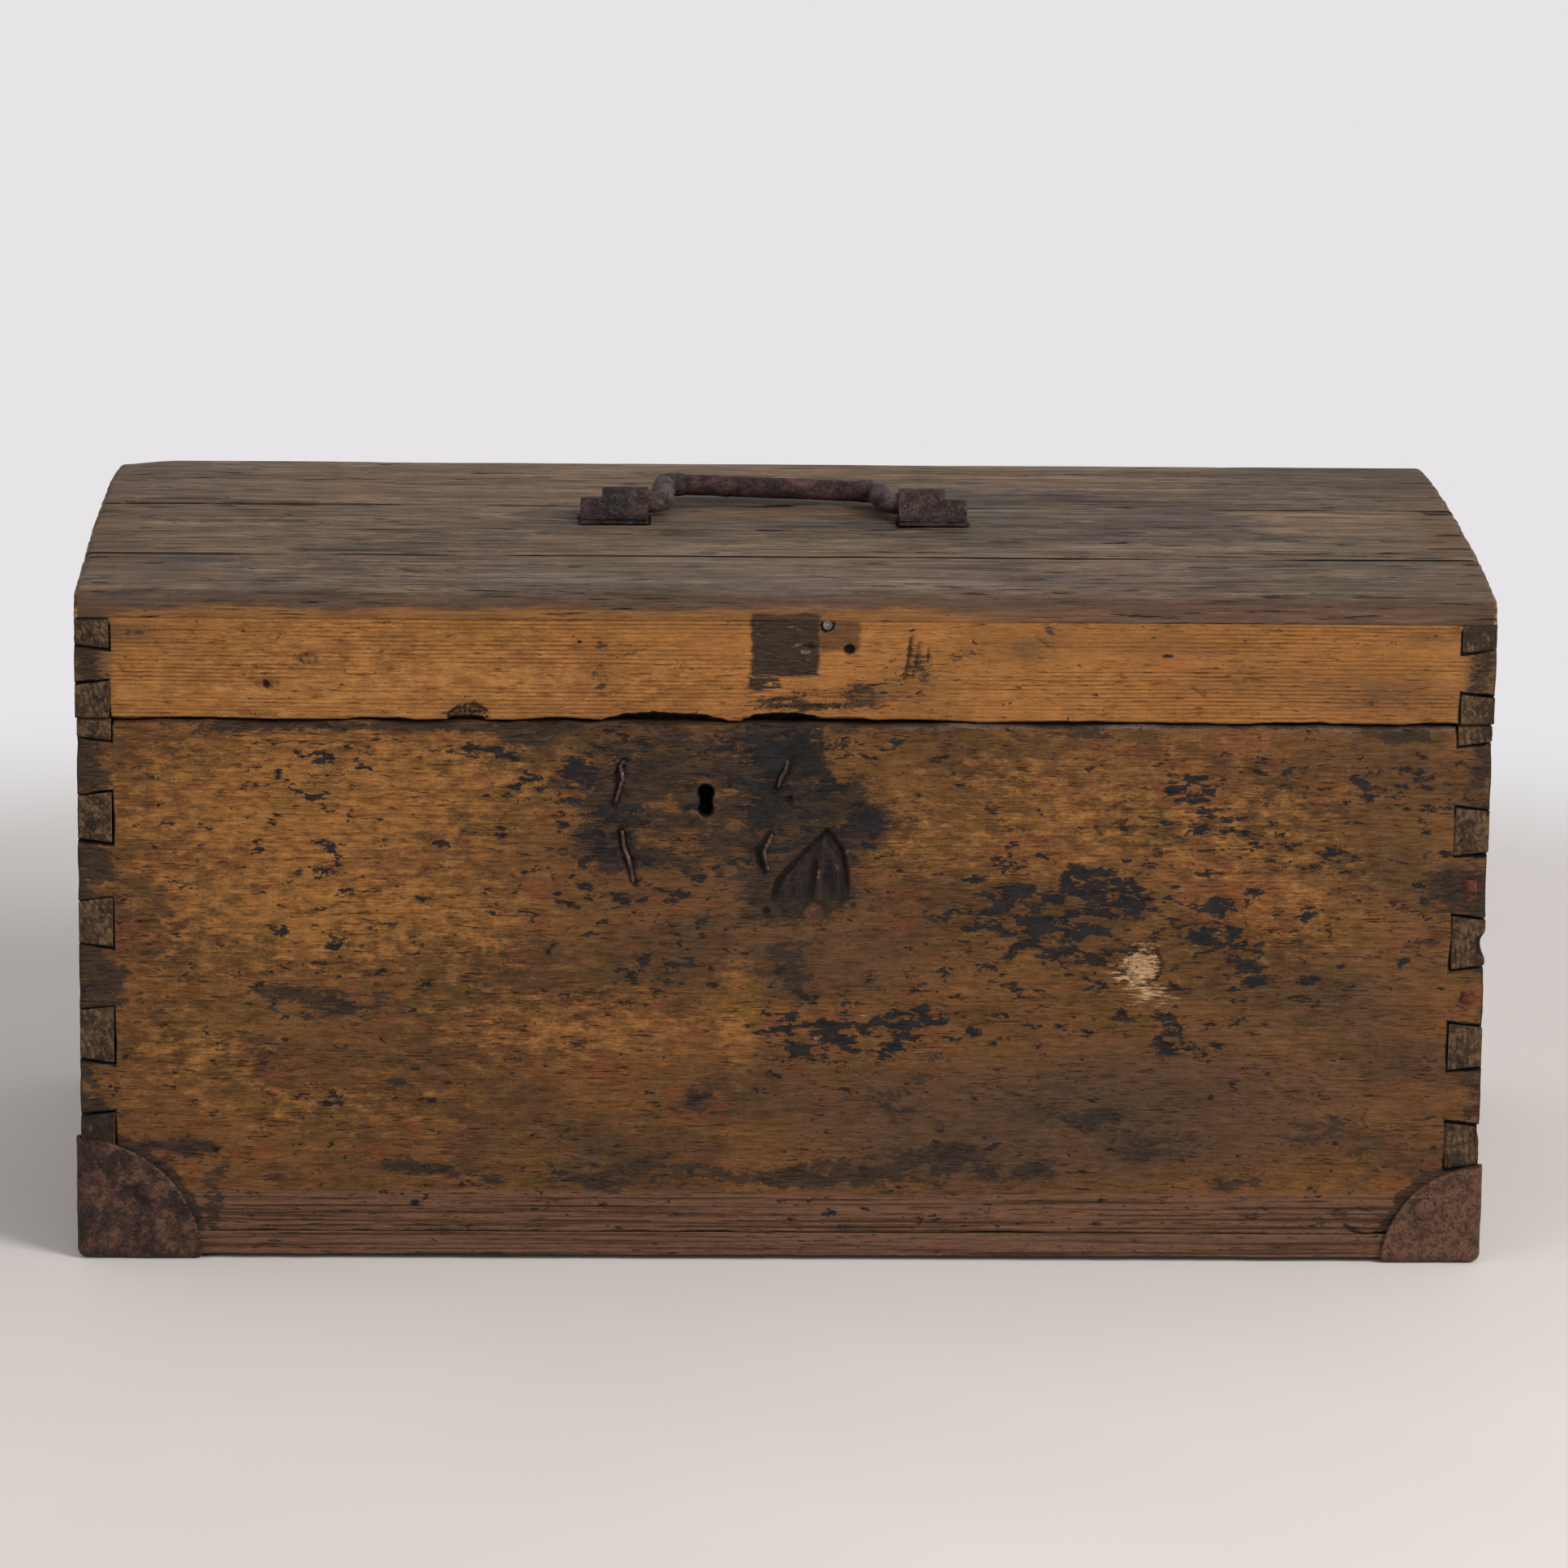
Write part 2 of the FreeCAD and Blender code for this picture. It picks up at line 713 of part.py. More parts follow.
def lock_case():
    """The case over the works: four walls and a cover, with two ears to rivet it down."""
    half = case_width / 2
    outer = box(in_lock(-half, lock_sheet, -case_height), in_lock(half, lock_depth, -lock_sheet))
    hollow = box(in_lock(case_sheet - half, lock_sheet, case_sheet - case_height),
                 in_lock(half - case_sheet, lock_depth - case_sheet, -lock_sheet))
    shell = outer.cut(hollow)
    ears = [box(in_lock(side_low, lock_sheet, -keyhole_drop - case_ear_height / 2),
                in_lock(side_high, lock_sheet + case_sheet, case_ear_height / 2 - keyhole_drop))
            for side_low, side_high in ((-half - case_ear, -half), (half, half + case_ear))]
    key_end = rod(key_end_radius, in_lock(0, lock_depth - case_sheet - overrun, -keyhole_drop),
                  in_lock(0, lock_depth + overrun, -keyhole_drop))
    return joined([shell] + ears).cut(key_end)


def case_rivets():
    """The two rivets through the ears of the case and the plate."""
    rivet = rose_nail(lock_sheet + case_sheet, shank_half)
    x = (case_width + case_ear) / 2
    return [aimed(rivet, in_lock(side * x, lock_sheet + case_sheet, -keyhole_drop), V(0, 1, 0))
            for side in (-1, 1)]


def lock_nails():
    """Four nails from inside through plate and board, their points bent over outside."""
    nails = []
    for (across, down), turn in zip(lock_nail_shares, clinch_turns):
        x = across * lock_plate_width / 2
        drop = down * lock_plate_height
        through = lock_sheet + board_thickness
        body = aimed(rose_nail(through, shank_half), in_lock(x, lock_sheet, -drop), V(0, 1, 0))
        bent = box(V(-shank_half, -clinch_height, -shank_half), V(clinch_length, 0, shank_half))
        bent.rotate(V(0, 0, 0), V(0, 1, 0), turn)
        bent.translate(in_lock(x, -board_thickness, -drop))
        nails.append(joined([body, bent]))
    return nails


def bolt_spans():
    """Front and back of the bolt, from the board's inner face."""
    near = lock_sheet + bolt_from_plate
    return near, near + bolt_thickness


def bolt():
    """The bolt, drawn back: a bar with a slot for its stud and a talon for the key."""
    near, far = bolt_spans()
    top = -bolt_drop
    low = top - bolt_height
    talon_low = low - talon_drop
    notch_right = (talon_width - bolt_throw) / 2
    notch_left = notch_right - talon_width
    notch_top = talon_low + talon_depth
    outline = [(-bolt_left, low), (-bolt_left, top), (bolt_right, top), (bolt_right, low),
               (notch_right + talon_wall, low), (notch_right + talon_wall, talon_low),
               (notch_right, talon_low), (notch_right, notch_top), (notch_left, notch_top),
               (notch_left, talon_low), (notch_left - talon_wall, talon_low),
               (notch_left - talon_wall, low)]
    bar = prism([in_lock(x, near, z) for x, z in outline], V(0, bolt_thickness, 0))
    reach = stud_radius + bolt_play
    middle = top - bolt_height / 2
    ends = (stud_shift - bolt_throw, stud_shift)
    slot = [rod(reach, in_lock(x, near - overrun, middle), in_lock(x, far + overrun, middle)) for x in ends]
    slot.append(box(in_lock(ends[0], near - overrun, middle - reach),
                    in_lock(ends[1], far + overrun, middle + reach)))
    return bar.cut(joined(slot))


def bolt_stud():
    """The stud that the bolt slides on: a shoulder, a neck in the slot and a head."""
    near, far = bolt_spans()
    z = -bolt_drop - bolt_height / 2
    x = stud_shift
    neck_start = near - bolt_play
    head_start = far + bolt_play
    return joined([rod(stud_shoulder_radius, in_lock(x, lock_sheet, z), in_lock(x, neck_start, z)),
                   rod(stud_radius, in_lock(x, neck_start, z), in_lock(x, head_start, z)),
                   rod(stud_shoulder_radius, in_lock(x, head_start, z),
                       in_lock(x, head_start + stud_head_height, z))])


def bolt_guide():
    """The guide round the bolt's nose, standing on the plate."""
    near, far = bolt_spans()
    top = bolt_play - bolt_drop
    low = -bolt_drop - bolt_height - bolt_play
    left = guide_shift
    right = guide_shift + guide_width
    outer = box(in_lock(left, lock_sheet, low - guide_wall),
                in_lock(right, far + bolt_play + guide_wall, top + guide_wall))
    window = box(in_lock(left - overrun, near - bolt_play, low),
                 in_lock(right + overrun, far + bolt_play, top))
    return outer.cut(window)


def lock_spring():
    """The bowed leaf spring that presses on the bolt, with a foot against the plate."""
    near, far = bolt_spans()
    left = -bolt_left + spring_sheet
    right = left + spring_span
    low = bolt_play - bolt_drop
    high = -lock_sheet - spring_sheet - bolt_play
    lowest = left + spring_low_share * spring_span
    points = [(left, high), (lowest, low), (right, low + spring_lift)]
    under = [in_lock(x, near, z) for x, z in points]
    over = [point + V(0, 0, spring_sheet) for point in under]
    edges = [Part.Arc(*under).toShape(), Part.makeLine(under[2], over[2]),
             Part.Arc(*reversed(over)).toShape(), Part.makeLine(over[0], under[0])]
    leaf = Part.Face(Part.Wire(edges)).extrude(V(0, bolt_thickness, 0))
    foot = box(in_lock(left - spring_sheet, lock_sheet, high + spring_sheet - spring_foot),
               in_lock(left, far, high + spring_sheet))
    return joined([leaf, foot])


def lid_catch():
    """The catch inside the lid: a leaf, a shelf and a lug with an eye for the bolt."""
    low = seam_gap + catch_lift
    half = catch_width / 2
    near, far = lug_depths()
    leaf = box(in_lock(lug_shift - half, 0, low), in_lock(lug_shift + half, catch_sheet, low + catch_height))
    shelf = box(in_lock(lug_shift - half, 0, low), in_lock(lug_shift + half, far, low + catch_sheet))
    lug = box(in_lock(lug_shift - lug_thickness / 2, near, -lug_drop),
              in_lock(lug_shift + lug_thickness / 2, far, low + catch_sheet))
    bolt_near, bolt_far = bolt_spans()
    eye = box(in_lock(lug_shift - lug_thickness, bolt_near - eye_play, -bolt_drop - bolt_height - eye_play),
              in_lock(lug_shift + lug_thickness, bolt_far + eye_play, eye_play - bolt_drop))
    return joined([leaf, shelf, lug]).cut(eye)


def catch_nails():
    """The two nails that hold the catch to the lid's front board."""
    nail = rose_nail(catch_nail_length)
    z = seam_gap + catch_lift + catch_nail_height_share * catch_height
    return [aimed(nail, in_lock(lug_shift + side * catch_nail_share * catch_width, catch_sheet, z), V(0, 1, 0))
            for side in (-1, 1)]


def old_nail():
    """The nail that stayed in the lid's front when its fastening was taken off."""
    head = rod(old_nail_radius, V(0, 0, 0), V(0, 0, old_nail_head))
    nail = joined([shank(old_nail_length, shank_tip_half), head])
    return aimed(nail, V(old_nail_shift, front_y, lid_edge - old_nail_drop), V(0, -1, 0))


def body_nodes():
    """Every piece of the body, by name."""
    zone = body_zone()
    pins = body_pins()
    under = bottom_nails()
    joint = joint_nails()
    lock = lock_nails()
    rivets = case_rivets()
    corners = {}
    corner_pins = []
    hinge_nails = []
    nodes = {}
    for side, side_name, reach in ((-1, "left", left_corner_reach), (1, "right", right_corner_reach)):
        for end, end_name in ((-1, "front"), (1, "rear")):
            nails = [placed_at_corner(nail, side, end) for nail in corner_nails(reach)]
            cap = placed_at_corner(corner_cap(reach), side, end)
            corners["corner_cap_" + end_name + "_" + side_name] = with_holes(cap, nails)
            corner_pins += nails
    outer_spans, _ = knuckle_spans()
    for side, name in ((-1, "left"), (1, "right")):
        x = side * (chest_length / 2 - hinge_inset)
        nails = leaf_nails(hinge_body_leaf_length, -1, x)
        nodes["hinge_body_leaf_" + name] = with_holes(
            hinge_leaf(hinge_body_leaf_length, -1, outer_spans, x), nails)
        nodes["hinge_pin_" + name] = hinge_pin(x)
        hinge_nails += nails
    driven = under + joint + lock + corner_pins + hinge_nails
    front = tail_board(chest_length, pins, front_y, zone)
    nodes["front_board"] = with_holes(front, driven).cut(keyhole(-board_thickness - overrun, overrun))
    nodes["back_board"] = with_holes(tail_board(chest_length, pins, inner_back_y, zone), driven)
    for (side, heights), name in zip(pins, ("left", "right")):
        board = pin_board(side, chest_length, heights, zone)
        nodes[name + "_side_board"] = with_holes(board, driven)
    for name, board in zip(("front", "middle", "rear"), bottom_boards()):
        nodes["bottom_board_" + name] = with_holes(board, under)
    nodes["bottom_nails"] = Part.makeCompound(under)
    nodes["corner_joint_nails"] = Part.makeCompound(joint)
    nodes.update(corners)
    nodes["corner_cap_nails"] = Part.makeCompound(corner_pins)
    nodes["hinge_body_nails"] = Part.makeCompound(hinge_nails)
    nodes["lock_plate"] = with_holes(lock_plate(), lock + rivets)
    nodes["lock_case"] = with_holes(lock_case(), rivets)
    nodes["lock_case_rivets"] = Part.makeCompound(rivets)
    nodes["lock_nails"] = Part.makeCompound(lock)
    nodes["lock_spring"] = lock_spring()
    nodes["lock_bolt_stud"] = bolt_stud()
    nodes["lock_bolt_guide"] = bolt_guide()
    return nodes


def lid_nodes():
    """Every piece of the lid, by name."""
    zone = lid_zone()
    pins = lid_pins()
    planks = plank_nails()
    catch = catch_nails()
    old = [old_nail()]
    hinge_nails = []
    nodes = {}
    _, inner_span = knuckle_spans()
    for side, name in ((-1, "left"), (1, "right")):
        x = side * (chest_length / 2 - hinge_inset)
        nails = leaf_nails(hinge_lid_leaf_length, 1, x)
        nodes["hinge_lid_leaf_" + name] = with_holes(
            hinge_leaf(hinge_lid_leaf_length, 1, inner_span, x), nails)
        hinge_nails += nails
    strap_nails = [mirrored(strap_nail(), handle_shift), strap_nail()]
    strap = handle_strap()
    nodes["handle_strap_left"] = with_holes(mirrored(strap, handle_shift), strap_nails)
    nodes["handle_strap_right"] = with_holes(strap, strap_nails)
    nodes["handle_strap_nails"] = Part.makeCompound(strap_nails)
    driven = planks + catch + old + hinge_nails
    for name, near_y in (("front", front_y), ("back", inner_back_y)):
        board = tail_board(lid_length, pins, near_y, zone)
        nodes["lid_" + name + "_board"] = with_holes(board, driven)
    for (side, heights), name in zip(pins, ("left", "right")):
        board = pin_board(side, lid_length, heights, zone)
        nodes["lid_" + name + "_end_board"] = with_holes(board, driven)
    for name, board in zip(("front", "middle", "rear"), lid_planks()):
        nodes["lid_plank_" + name] = with_holes(board, planks + strap_nails)
    nodes["lid_plank_nails"] = Part.makeCompound(planks)
    nodes["hinge_lid_nails"] = Part.makeCompound(hinge_nails)
    nodes["lid_catch"] = with_holes(lid_catch(), catch)
    nodes["lid_catch_nails"] = Part.makeCompound(catch)
    nodes["lid_old_nail"] = old[0]
    return nodes


handle_axis_z = arch(middle_y, plank_thickness) + strap_radius

nodes = body_nodes()
nodes.update(lid_nodes())
nodes["handle_bail"] = bail()
nodes["lock_bolt"] = bolt()

os.makedirs("parts", exist_ok=True)
for name, shape in nodes.items():
    shape.exportStep(os.path.join("parts", name + ".step"))
    print(name, len(shape.Solids), "solids, volume", round(shape.Volume), "valid", shape.isValid())
print(len(nodes), "nodes")
print("hinge axis", round(hinge_axis_y, 3), round(hinge_axis_z, 3))
print("handle axis", round(handle_y, 3), round(handle_axis_z, 3))
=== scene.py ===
# %% [markdown]
# # A small dovetailed pine chest, with iron corners and a bail handle
#
# This lesson dresses a chest that is already built as a solid model. The model comes
# first and never moves: every board, nail and hinge of it has a name and a place. What
# is added here is age. The boards get worn edges, chips and raised grain, the iron gets
# dents and rust, and both get colours that follow the same wear.
#
# Lengths are written in millimetres, because a maker thinks in them, and are turned
# into metres where a mesh is made.

import itertools
import json
import math

import bpy
import numpy as np
from mathutils import Matrix, Vector
from mathutils.geometry import delaunay_2d_cdt


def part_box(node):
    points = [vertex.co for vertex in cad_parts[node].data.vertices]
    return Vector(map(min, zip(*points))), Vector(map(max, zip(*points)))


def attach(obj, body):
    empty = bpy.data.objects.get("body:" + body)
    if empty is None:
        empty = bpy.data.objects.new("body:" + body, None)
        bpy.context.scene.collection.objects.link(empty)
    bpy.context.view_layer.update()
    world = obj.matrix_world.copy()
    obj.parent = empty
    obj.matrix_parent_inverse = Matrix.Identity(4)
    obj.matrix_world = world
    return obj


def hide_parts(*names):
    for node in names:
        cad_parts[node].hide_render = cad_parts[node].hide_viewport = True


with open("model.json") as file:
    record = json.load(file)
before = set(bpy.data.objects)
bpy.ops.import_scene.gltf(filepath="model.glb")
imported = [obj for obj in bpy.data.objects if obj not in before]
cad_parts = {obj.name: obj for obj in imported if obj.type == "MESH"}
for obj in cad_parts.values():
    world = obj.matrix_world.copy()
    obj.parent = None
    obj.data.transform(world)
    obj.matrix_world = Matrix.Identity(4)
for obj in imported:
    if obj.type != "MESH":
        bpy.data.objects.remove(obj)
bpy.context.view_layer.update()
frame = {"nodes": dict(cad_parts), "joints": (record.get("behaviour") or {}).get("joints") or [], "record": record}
MM = 0.001
front_y = round(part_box("front_board")[0][1] / MM, 2)
print("pieces in the solid model:", len(frame["nodes"]))
print("front face at y %.1f mm" % front_y)

# %% [markdown]
# ## Randomness that stays the same
#
# Wear is irregular, but the chest has to come out the same each time. A grid of fixed
# random numbers does that. Between the grid's points the numbers are blended, which
# gives soft hills. A few sizes of hill on top of each other look like worn wood. Where
# the grid is long one way and short the other, they look like grain.


# %% Hills of random height
def hills(points, seed):
    """Random heights from 0 to 1 at points of a cube grid one unit wide.

    Each whole-numbered corner has a fixed random height, and a point gets the mean of
    its cell's eight corners, weighted by the S-shaped curve 3f^2 - 2f^3."""
    cell = np.floor(points).astype(np.int64)
    share = points - cell
    share = share * share * (3 - 2 * share)
    total = np.zeros(len(points))
    for corner in itertools.product((0, 1), repeat=3):
        at = cell + np.array(corner)
        key = at[:, 0] * 73856093 ^ at[:, 1] * 19349663 ^ at[:, 2] * 83492791 ^ seed * 374761393
        key = (key ^ (key >> 13)) * 1274126177
        height = ((key ^ (key >> 16)) & 0xFFFFF) / 0xFFFFF
        total += height * np.prod(np.where(corner, share, 1 - share), axis=1)
    return total


def rough(points, size, seed, layers=3):
    """Hills in several layers, each half as wide and half as high as the last."""
    size = np.array(size, float)
    total = sum(hills(points / size * 2 ** k + 7.3 * k, seed + k) / 2 ** k for k in range(layers))
    return total / sum(1 / 2 ** k for k in range(layers))


def soft_step(value, low, high):
    """0 below low, 1 above high, and an S-shaped rise between."""
    share = np.clip((value - low) / (high - low), 0, 1)
    return share * share * (3 - 2 * share)


def bell(value, middle, width):
    """1 in the middle, falling to 0 on both sides: e to the minus square of the distance."""
    return np.exp(-((value - middle) / width) ** 2)


def spots(across, up, table):
    """Soft ovals laid over each other: x, z, half length, half height, strength."""
    clear = np.ones(len(across))
    for x, z, half_x, half_z, strength in table:
        reach = ((across - x) / half_x) ** 2 + ((up - z) / half_z) ** 2
        clear *= 1 - strength * np.exp(-reach * 0.9)
    return 1 - clear


sample = rough(np.random.default_rng(1).uniform(0, 900, (2000, 3)), (40, 9, 9), 3)
print("hills run from %.2f to %.2f" % (sample.min(), sample.max()))

# %% [markdown]
# ## From arrays to a mesh
#
# Every new piece ends as two arrays, its points and its faces. One helper turns them
# into a mesh object at the origin, ties it to the body that it moves with, and puts it
# in place of the plain solid. It can also store numbers on the points, such as how deep
# a hollow is. The finishes read them, so painted shade falls where the wood is really hollow.


# %% Make a piece
made = {}


def piece(name, points, faces, body, stands_for, marks):
    """A mesh from points in millimetres and faces of any number of corners. stands_for
    names the solids that it replaces, and marks holds the numbers kept on its points."""
    mesh = bpy.data.meshes.new(name)
    mesh.from_pydata((points * MM).tolist(), [], faces)
    mesh.validate()
    for mark, values in marks.items():
        layer = mesh.attributes.new(mark, "FLOAT", "POINT")
        layer.data.foreach_set("value", np.asarray(values, np.float32))
    mesh.polygons.foreach_set("use_smooth", np.full(len(mesh.polygons), True))
    mesh.update()
    made[name] = bpy.data.objects.new(name, mesh)
    bpy.context.scene.collection.objects.link(made[name])
    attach(made[name], body)
    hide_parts(*stands_for)
    print(name, len(mesh.vertices), "points")


def closed_tube(shape):
    """Faces of a grid of rings, with a flat cap at each end."""
    along, around = shape
    index = np.arange(around)
    following = np.roll(index, -1)
    row = (np.arange(along - 1) * around)[:, None]
    quads = np.stack((row + index, row + following, row + around + following, row + around + index), 2)
    return quads.reshape(-1, 4).tolist() + [index[::-1].tolist(), (index + (along - 1) * around).tolist()]


# %% [markdown]
# ## The outline of a board
#
# A board of this chest is a flat shape with a thickness. Seen square on, the long boards
# are rectangles with sockets cut in their ends, and the end boards have pins that fill
# the sockets. The solid model already holds these outlines. Reading them from it keeps
# the worn board true to the joint: the flat face's triangles are picked out, and the
# edges that only one of them has are the outline.


# %% Read an outline
def solid_arrays(node):
    """A solid's points in millimetres, each once, and its triangles."""
    mesh = frame["nodes"][node].data
    mesh.calc_loop_triangles()
    points = np.empty(len(mesh.vertices) * 3, np.float32)
    mesh.vertices.foreach_get("co", points)
    corners = np.empty(len(mesh.loop_triangles) * 3, np.int32)
    mesh.loop_triangles.foreach_get("vertices", corners)
    points, place = np.unique(np.round(points.reshape(-1, 3) / MM, 3), axis=0, return_inverse=True)
    return points, place.reshape(-1)[corners].reshape(-1, 3)


def face_frame(outward):
    """Directions across, up and out of a face, which make a right-handed set."""
    out = np.array(outward, float)
    up = np.array((0.0, 0, 1)) if abs(out[2]) < 0.5 else np.array((0.0, out[2], 0))
    return np.cross(up, out), up, out


def outlines(node, outward):
    """The closed outlines of a solid's outermost flat face, with the wood on the left."""
    points, triangles = solid_arrays(node)
    across, up, out = face_frame(outward)
    a, b, c = (points[triangles[:, k]] for k in range(3))
    normal = np.cross(b - a, c - a)
    length = np.linalg.norm(normal, axis=1)
    height = points @ out
    flat = (normal @ out > 0.999 * length) & (length > 0)
    flat &= np.abs(height[triangles].mean(1) - height.max()) < 0.01
    chosen = triangles[flat]
    starts, ends = chosen.reshape(-1), np.roll(chosen, -1, axis=1).reshape(-1)
    count = len(points)
    outer = ~np.isin(starts * count + ends, ends * count + starts)
    following = dict(zip(starts[outer].tolist(), ends[outer].tolist()))
    loops = []
    while following:
        first = next(iter(following))
        loop, at = [first], following.pop(first)
        while at != first:
            loop.append(at)
            at = following.pop(at)
        flat_loop = points[loop] @ np.stack((across, up), 1)
        before = flat_loop - np.roll(flat_loop, 1, 0)
        after = np.roll(flat_loop, -1, 0) - flat_loop
        turn = before[:, 0] * after[:, 1] - before[:, 1] * after[:, 0]
        sharp = np.abs(turn) > 1e-3 * np.linalg.norm(before, axis=1) * np.linalg.norm(after, axis=1)
        loops.append(flat_loop[sharp])
    return sorted(loops, key=lambda loop: -abs(area(loop))), height.max()


def area(loop):
    """Area inside a loop, by the sum of its edges' cross products."""
    after = np.roll(loop, -1, 0)
    return 0.5 * np.sum(loop[:, 0] * after[:, 1] - loop[:, 1] * after[:, 0])


front_outline, front_height = outlines("front_board", (0, -1, 0))
print("front board: %d corners, face at y %.1f mm" % (len(front_outline[0]), -front_height))

# %% [markdown]
# ## A worn slab
#
# A hundred years round a board's sharp edges, and here and there a splinter breaks away.
# To model that, the outline is divided into short steps and drawn again and again, each
# time a little deeper into the wood and wider, which makes a rounded edge. A random share
# makes the wear uneven, and a chip is a place where the first rings draw back further.
#
# The face between the rings is filled with a fine net of triangles, which can sink
# between the hard lines of the grain and so catches the light as old pine does.


# %% Divide an outline
turn_reach = 8.0  # how far from a corner the edge's own direction begins to turn


def shares(pieces):
    """The edge that each step of a divided loop lies on, and its share of that edge."""
    which = np.repeat(np.arange(len(pieces)), pieces)
    first = np.repeat(np.cumsum(pieces) - pieces, pieces)
    return which, (np.arange(pieces.sum()) - first) / pieces[which]


def redivided(loop, pieces):
    """Steps along a loop whose edges each have their own number of pieces."""
    edge = np.roll(loop, -1, 0) - loop
    which, share = shares(pieces)
    return loop[which] + edge[which] * share[:, None]


def divided(loop, step):
    """Points every step along a loop, with the direction into the wood at each.

    Along an edge it is the edge's left-hand normal. At a corner it is the mitre, the sum
    of both normals over one plus their product. Near a corner one turns into the other."""
    edge = np.roll(loop, -1, 0) - loop
    length = np.linalg.norm(edge, axis=1)
    inward = np.stack((-edge[:, 1], edge[:, 0]), 1) / length[:, None]
    pieces = np.maximum(1, np.ceil(length / step)).astype(int)
    which, share = shares(pieces)
    previous = np.roll(inward, 1, 0)
    mitre = (previous + inward) / (1 + np.sum(previous * inward, axis=1))[:, None]
    reach = np.minimum(turn_reach, length / 2)[which]
    from_start = np.clip(1 - share * length[which] / reach, 0, 1)[:, None]
    from_end = np.clip(1 - (1 - share) * length[which] / reach, 0, 1)[:, None]
    lean_start, lean_end = mitre - inward, np.roll(mitre, -1, 0) - inward
    direction = inward[which] + from_start * lean_start[which] + from_end * lean_end[which]
    return redivided(loop, pieces), direction, pieces


def matched(loop, other):
    """Another loop with as many corners, turned to start and run like the first."""
    turns = [np.roll(other, -k, 0) for k in range(len(other))]
    return min(turns, key=lambda turned: np.sum((turned - loop) ** 2))


print("a step along the front board gives", len(divided(front_outline[0], 1.5)[0]), "points")


# %% Fill a face with a net
def inside(points, loops):
    """Whether points lie in the wood: an odd number of edges lies to their right."""
    odd = np.zeros(len(points), bool)
    for loop in loops:
        for start, end in zip(loop, np.roll(loop, -1, 0)):
            if start[1] != end[1]:
                crosses = (start[1] > points[:, 1]) != (end[1] > points[:, 1])
                at = start[0] + (points[:, 1] - start[1]) * (end[0] - start[0]) / (end[1] - start[1])
                odd ^= crosses & (points[:, 0] < at)
    return odd


def distance_to(points, loops):
    """Distance from points to the nearest edge of the loops."""
    nearest = np.full(len(points), 1e9)
    for loop in loops:
        for start, end in zip(loop, np.roll(loop, -1, 0)):
            along = end - start
            share = np.clip((points - start) @ along / max(along @ along, 1e-9), 0, 1)
            nearest = np.minimum(nearest, np.sum((points - start - share[:, None] * along) ** 2, axis=1))
    return np.sqrt(nearest)


def next_in_ring(sizes):
    """Numbers of the points of rings of these sizes, and of the next point in the ring."""
    starts = np.repeat(np.cumsum(sizes) - sizes, sizes)
    index = np.arange(sizes.sum())
    return index, starts + (index - starts + 1) % np.repeat(sizes, sizes)


def net(ring, sizes, loops, cell, gap, fine=None):
    """Triangles between a ring of points and a grid inside it.

    fine is a stretch, from and to, with columns at its own smaller distance."""
    low, high = loops[0].min(0), loops[0].max(0)
    columns, rows = np.maximum(2, np.round((high - low) / cell)).astype(int)
    across = np.linspace(low[0], high[0], columns)
    if fine:
        across = np.concatenate((across[(across < fine[0]) | (across > fine[1])], np.arange(*fine)))
        across.sort()
    u, v = np.meshgrid(across, np.linspace(low[1], high[1], rows))
    u[::2] += 0.5 * np.append(np.diff(across), 0)
    grid = np.stack((u.ravel(), v.ravel()), 1)
    grid = grid[inside(grid, loops) & (distance_to(grid, loops) > gap)]
    index, following = next_in_ring(sizes)
    every = np.concatenate((ring, grid))
    edges = np.stack((index, following), 1).tolist()
    only_inside, nearness = 1, 1e-5
    found = delaunay_2d_cdt([Vector(p) for p in every.tolist()], edges, [], only_inside, nearness)
    place = np.array([group[0] if group else -1 for group in found[3]])
    triangles = place[np.array(found[2])]
    triangles = triangles[triangles.min(1) >= 0]
    middle = every[triangles].mean(1)
    for loop in loops[1:]:
        triangles = triangles[~inside(middle, [loop])]
        middle = every[triangles].mean(1)
    a, b, c = (every[triangles[:, k]] for k in range(3))
    turned = (b[:, 0] - a[:, 0]) * (c[:, 1] - a[:, 1]) < (b[:, 1] - a[:, 1]) * (c[:, 0] - a[:, 0])
    triangles[turned] = triangles[turned][:, ::-1]
    return grid, triangles


# %% Pair the outlines of both faces
smallest_hole = 25  # an outline of fewer square millimetres is left out


def paired_loops(node, outward):
    """A board's outlines, each with its like on the back, the face's height and the
    board's thickness."""
    front, height = outlines(node, outward)
    back, low = outlines(node, -np.array(outward, float))
    flip = np.array((-1.0, 1.0)) if abs(outward[2]) < 0.5 else np.array((1.0, -1.0))
    behind = [(loop * flip)[::-1] for loop in back if abs(area(loop)) > smallest_hole]
    pairs = []
    for loop in front:
        if abs(area(loop)) > smallest_hole:
            alike = [matched(loop, other) for other in behind if len(other) == len(loop)]
            pairs.append((loop, min(alike, default=loop, key=lambda other: np.sum((other - loop) ** 2))))
    return pairs, height, height + low


# %% Rings of a slab
quarter_round = [(0.0, 1.0), (0.08, 0.62), (0.3, 0.29), (0.62, 0.08), (1.0, 0.0)]  # sunk, drawn in
plain_rings = (3.0, 6.0)  # depths of the rings between the rounded edges


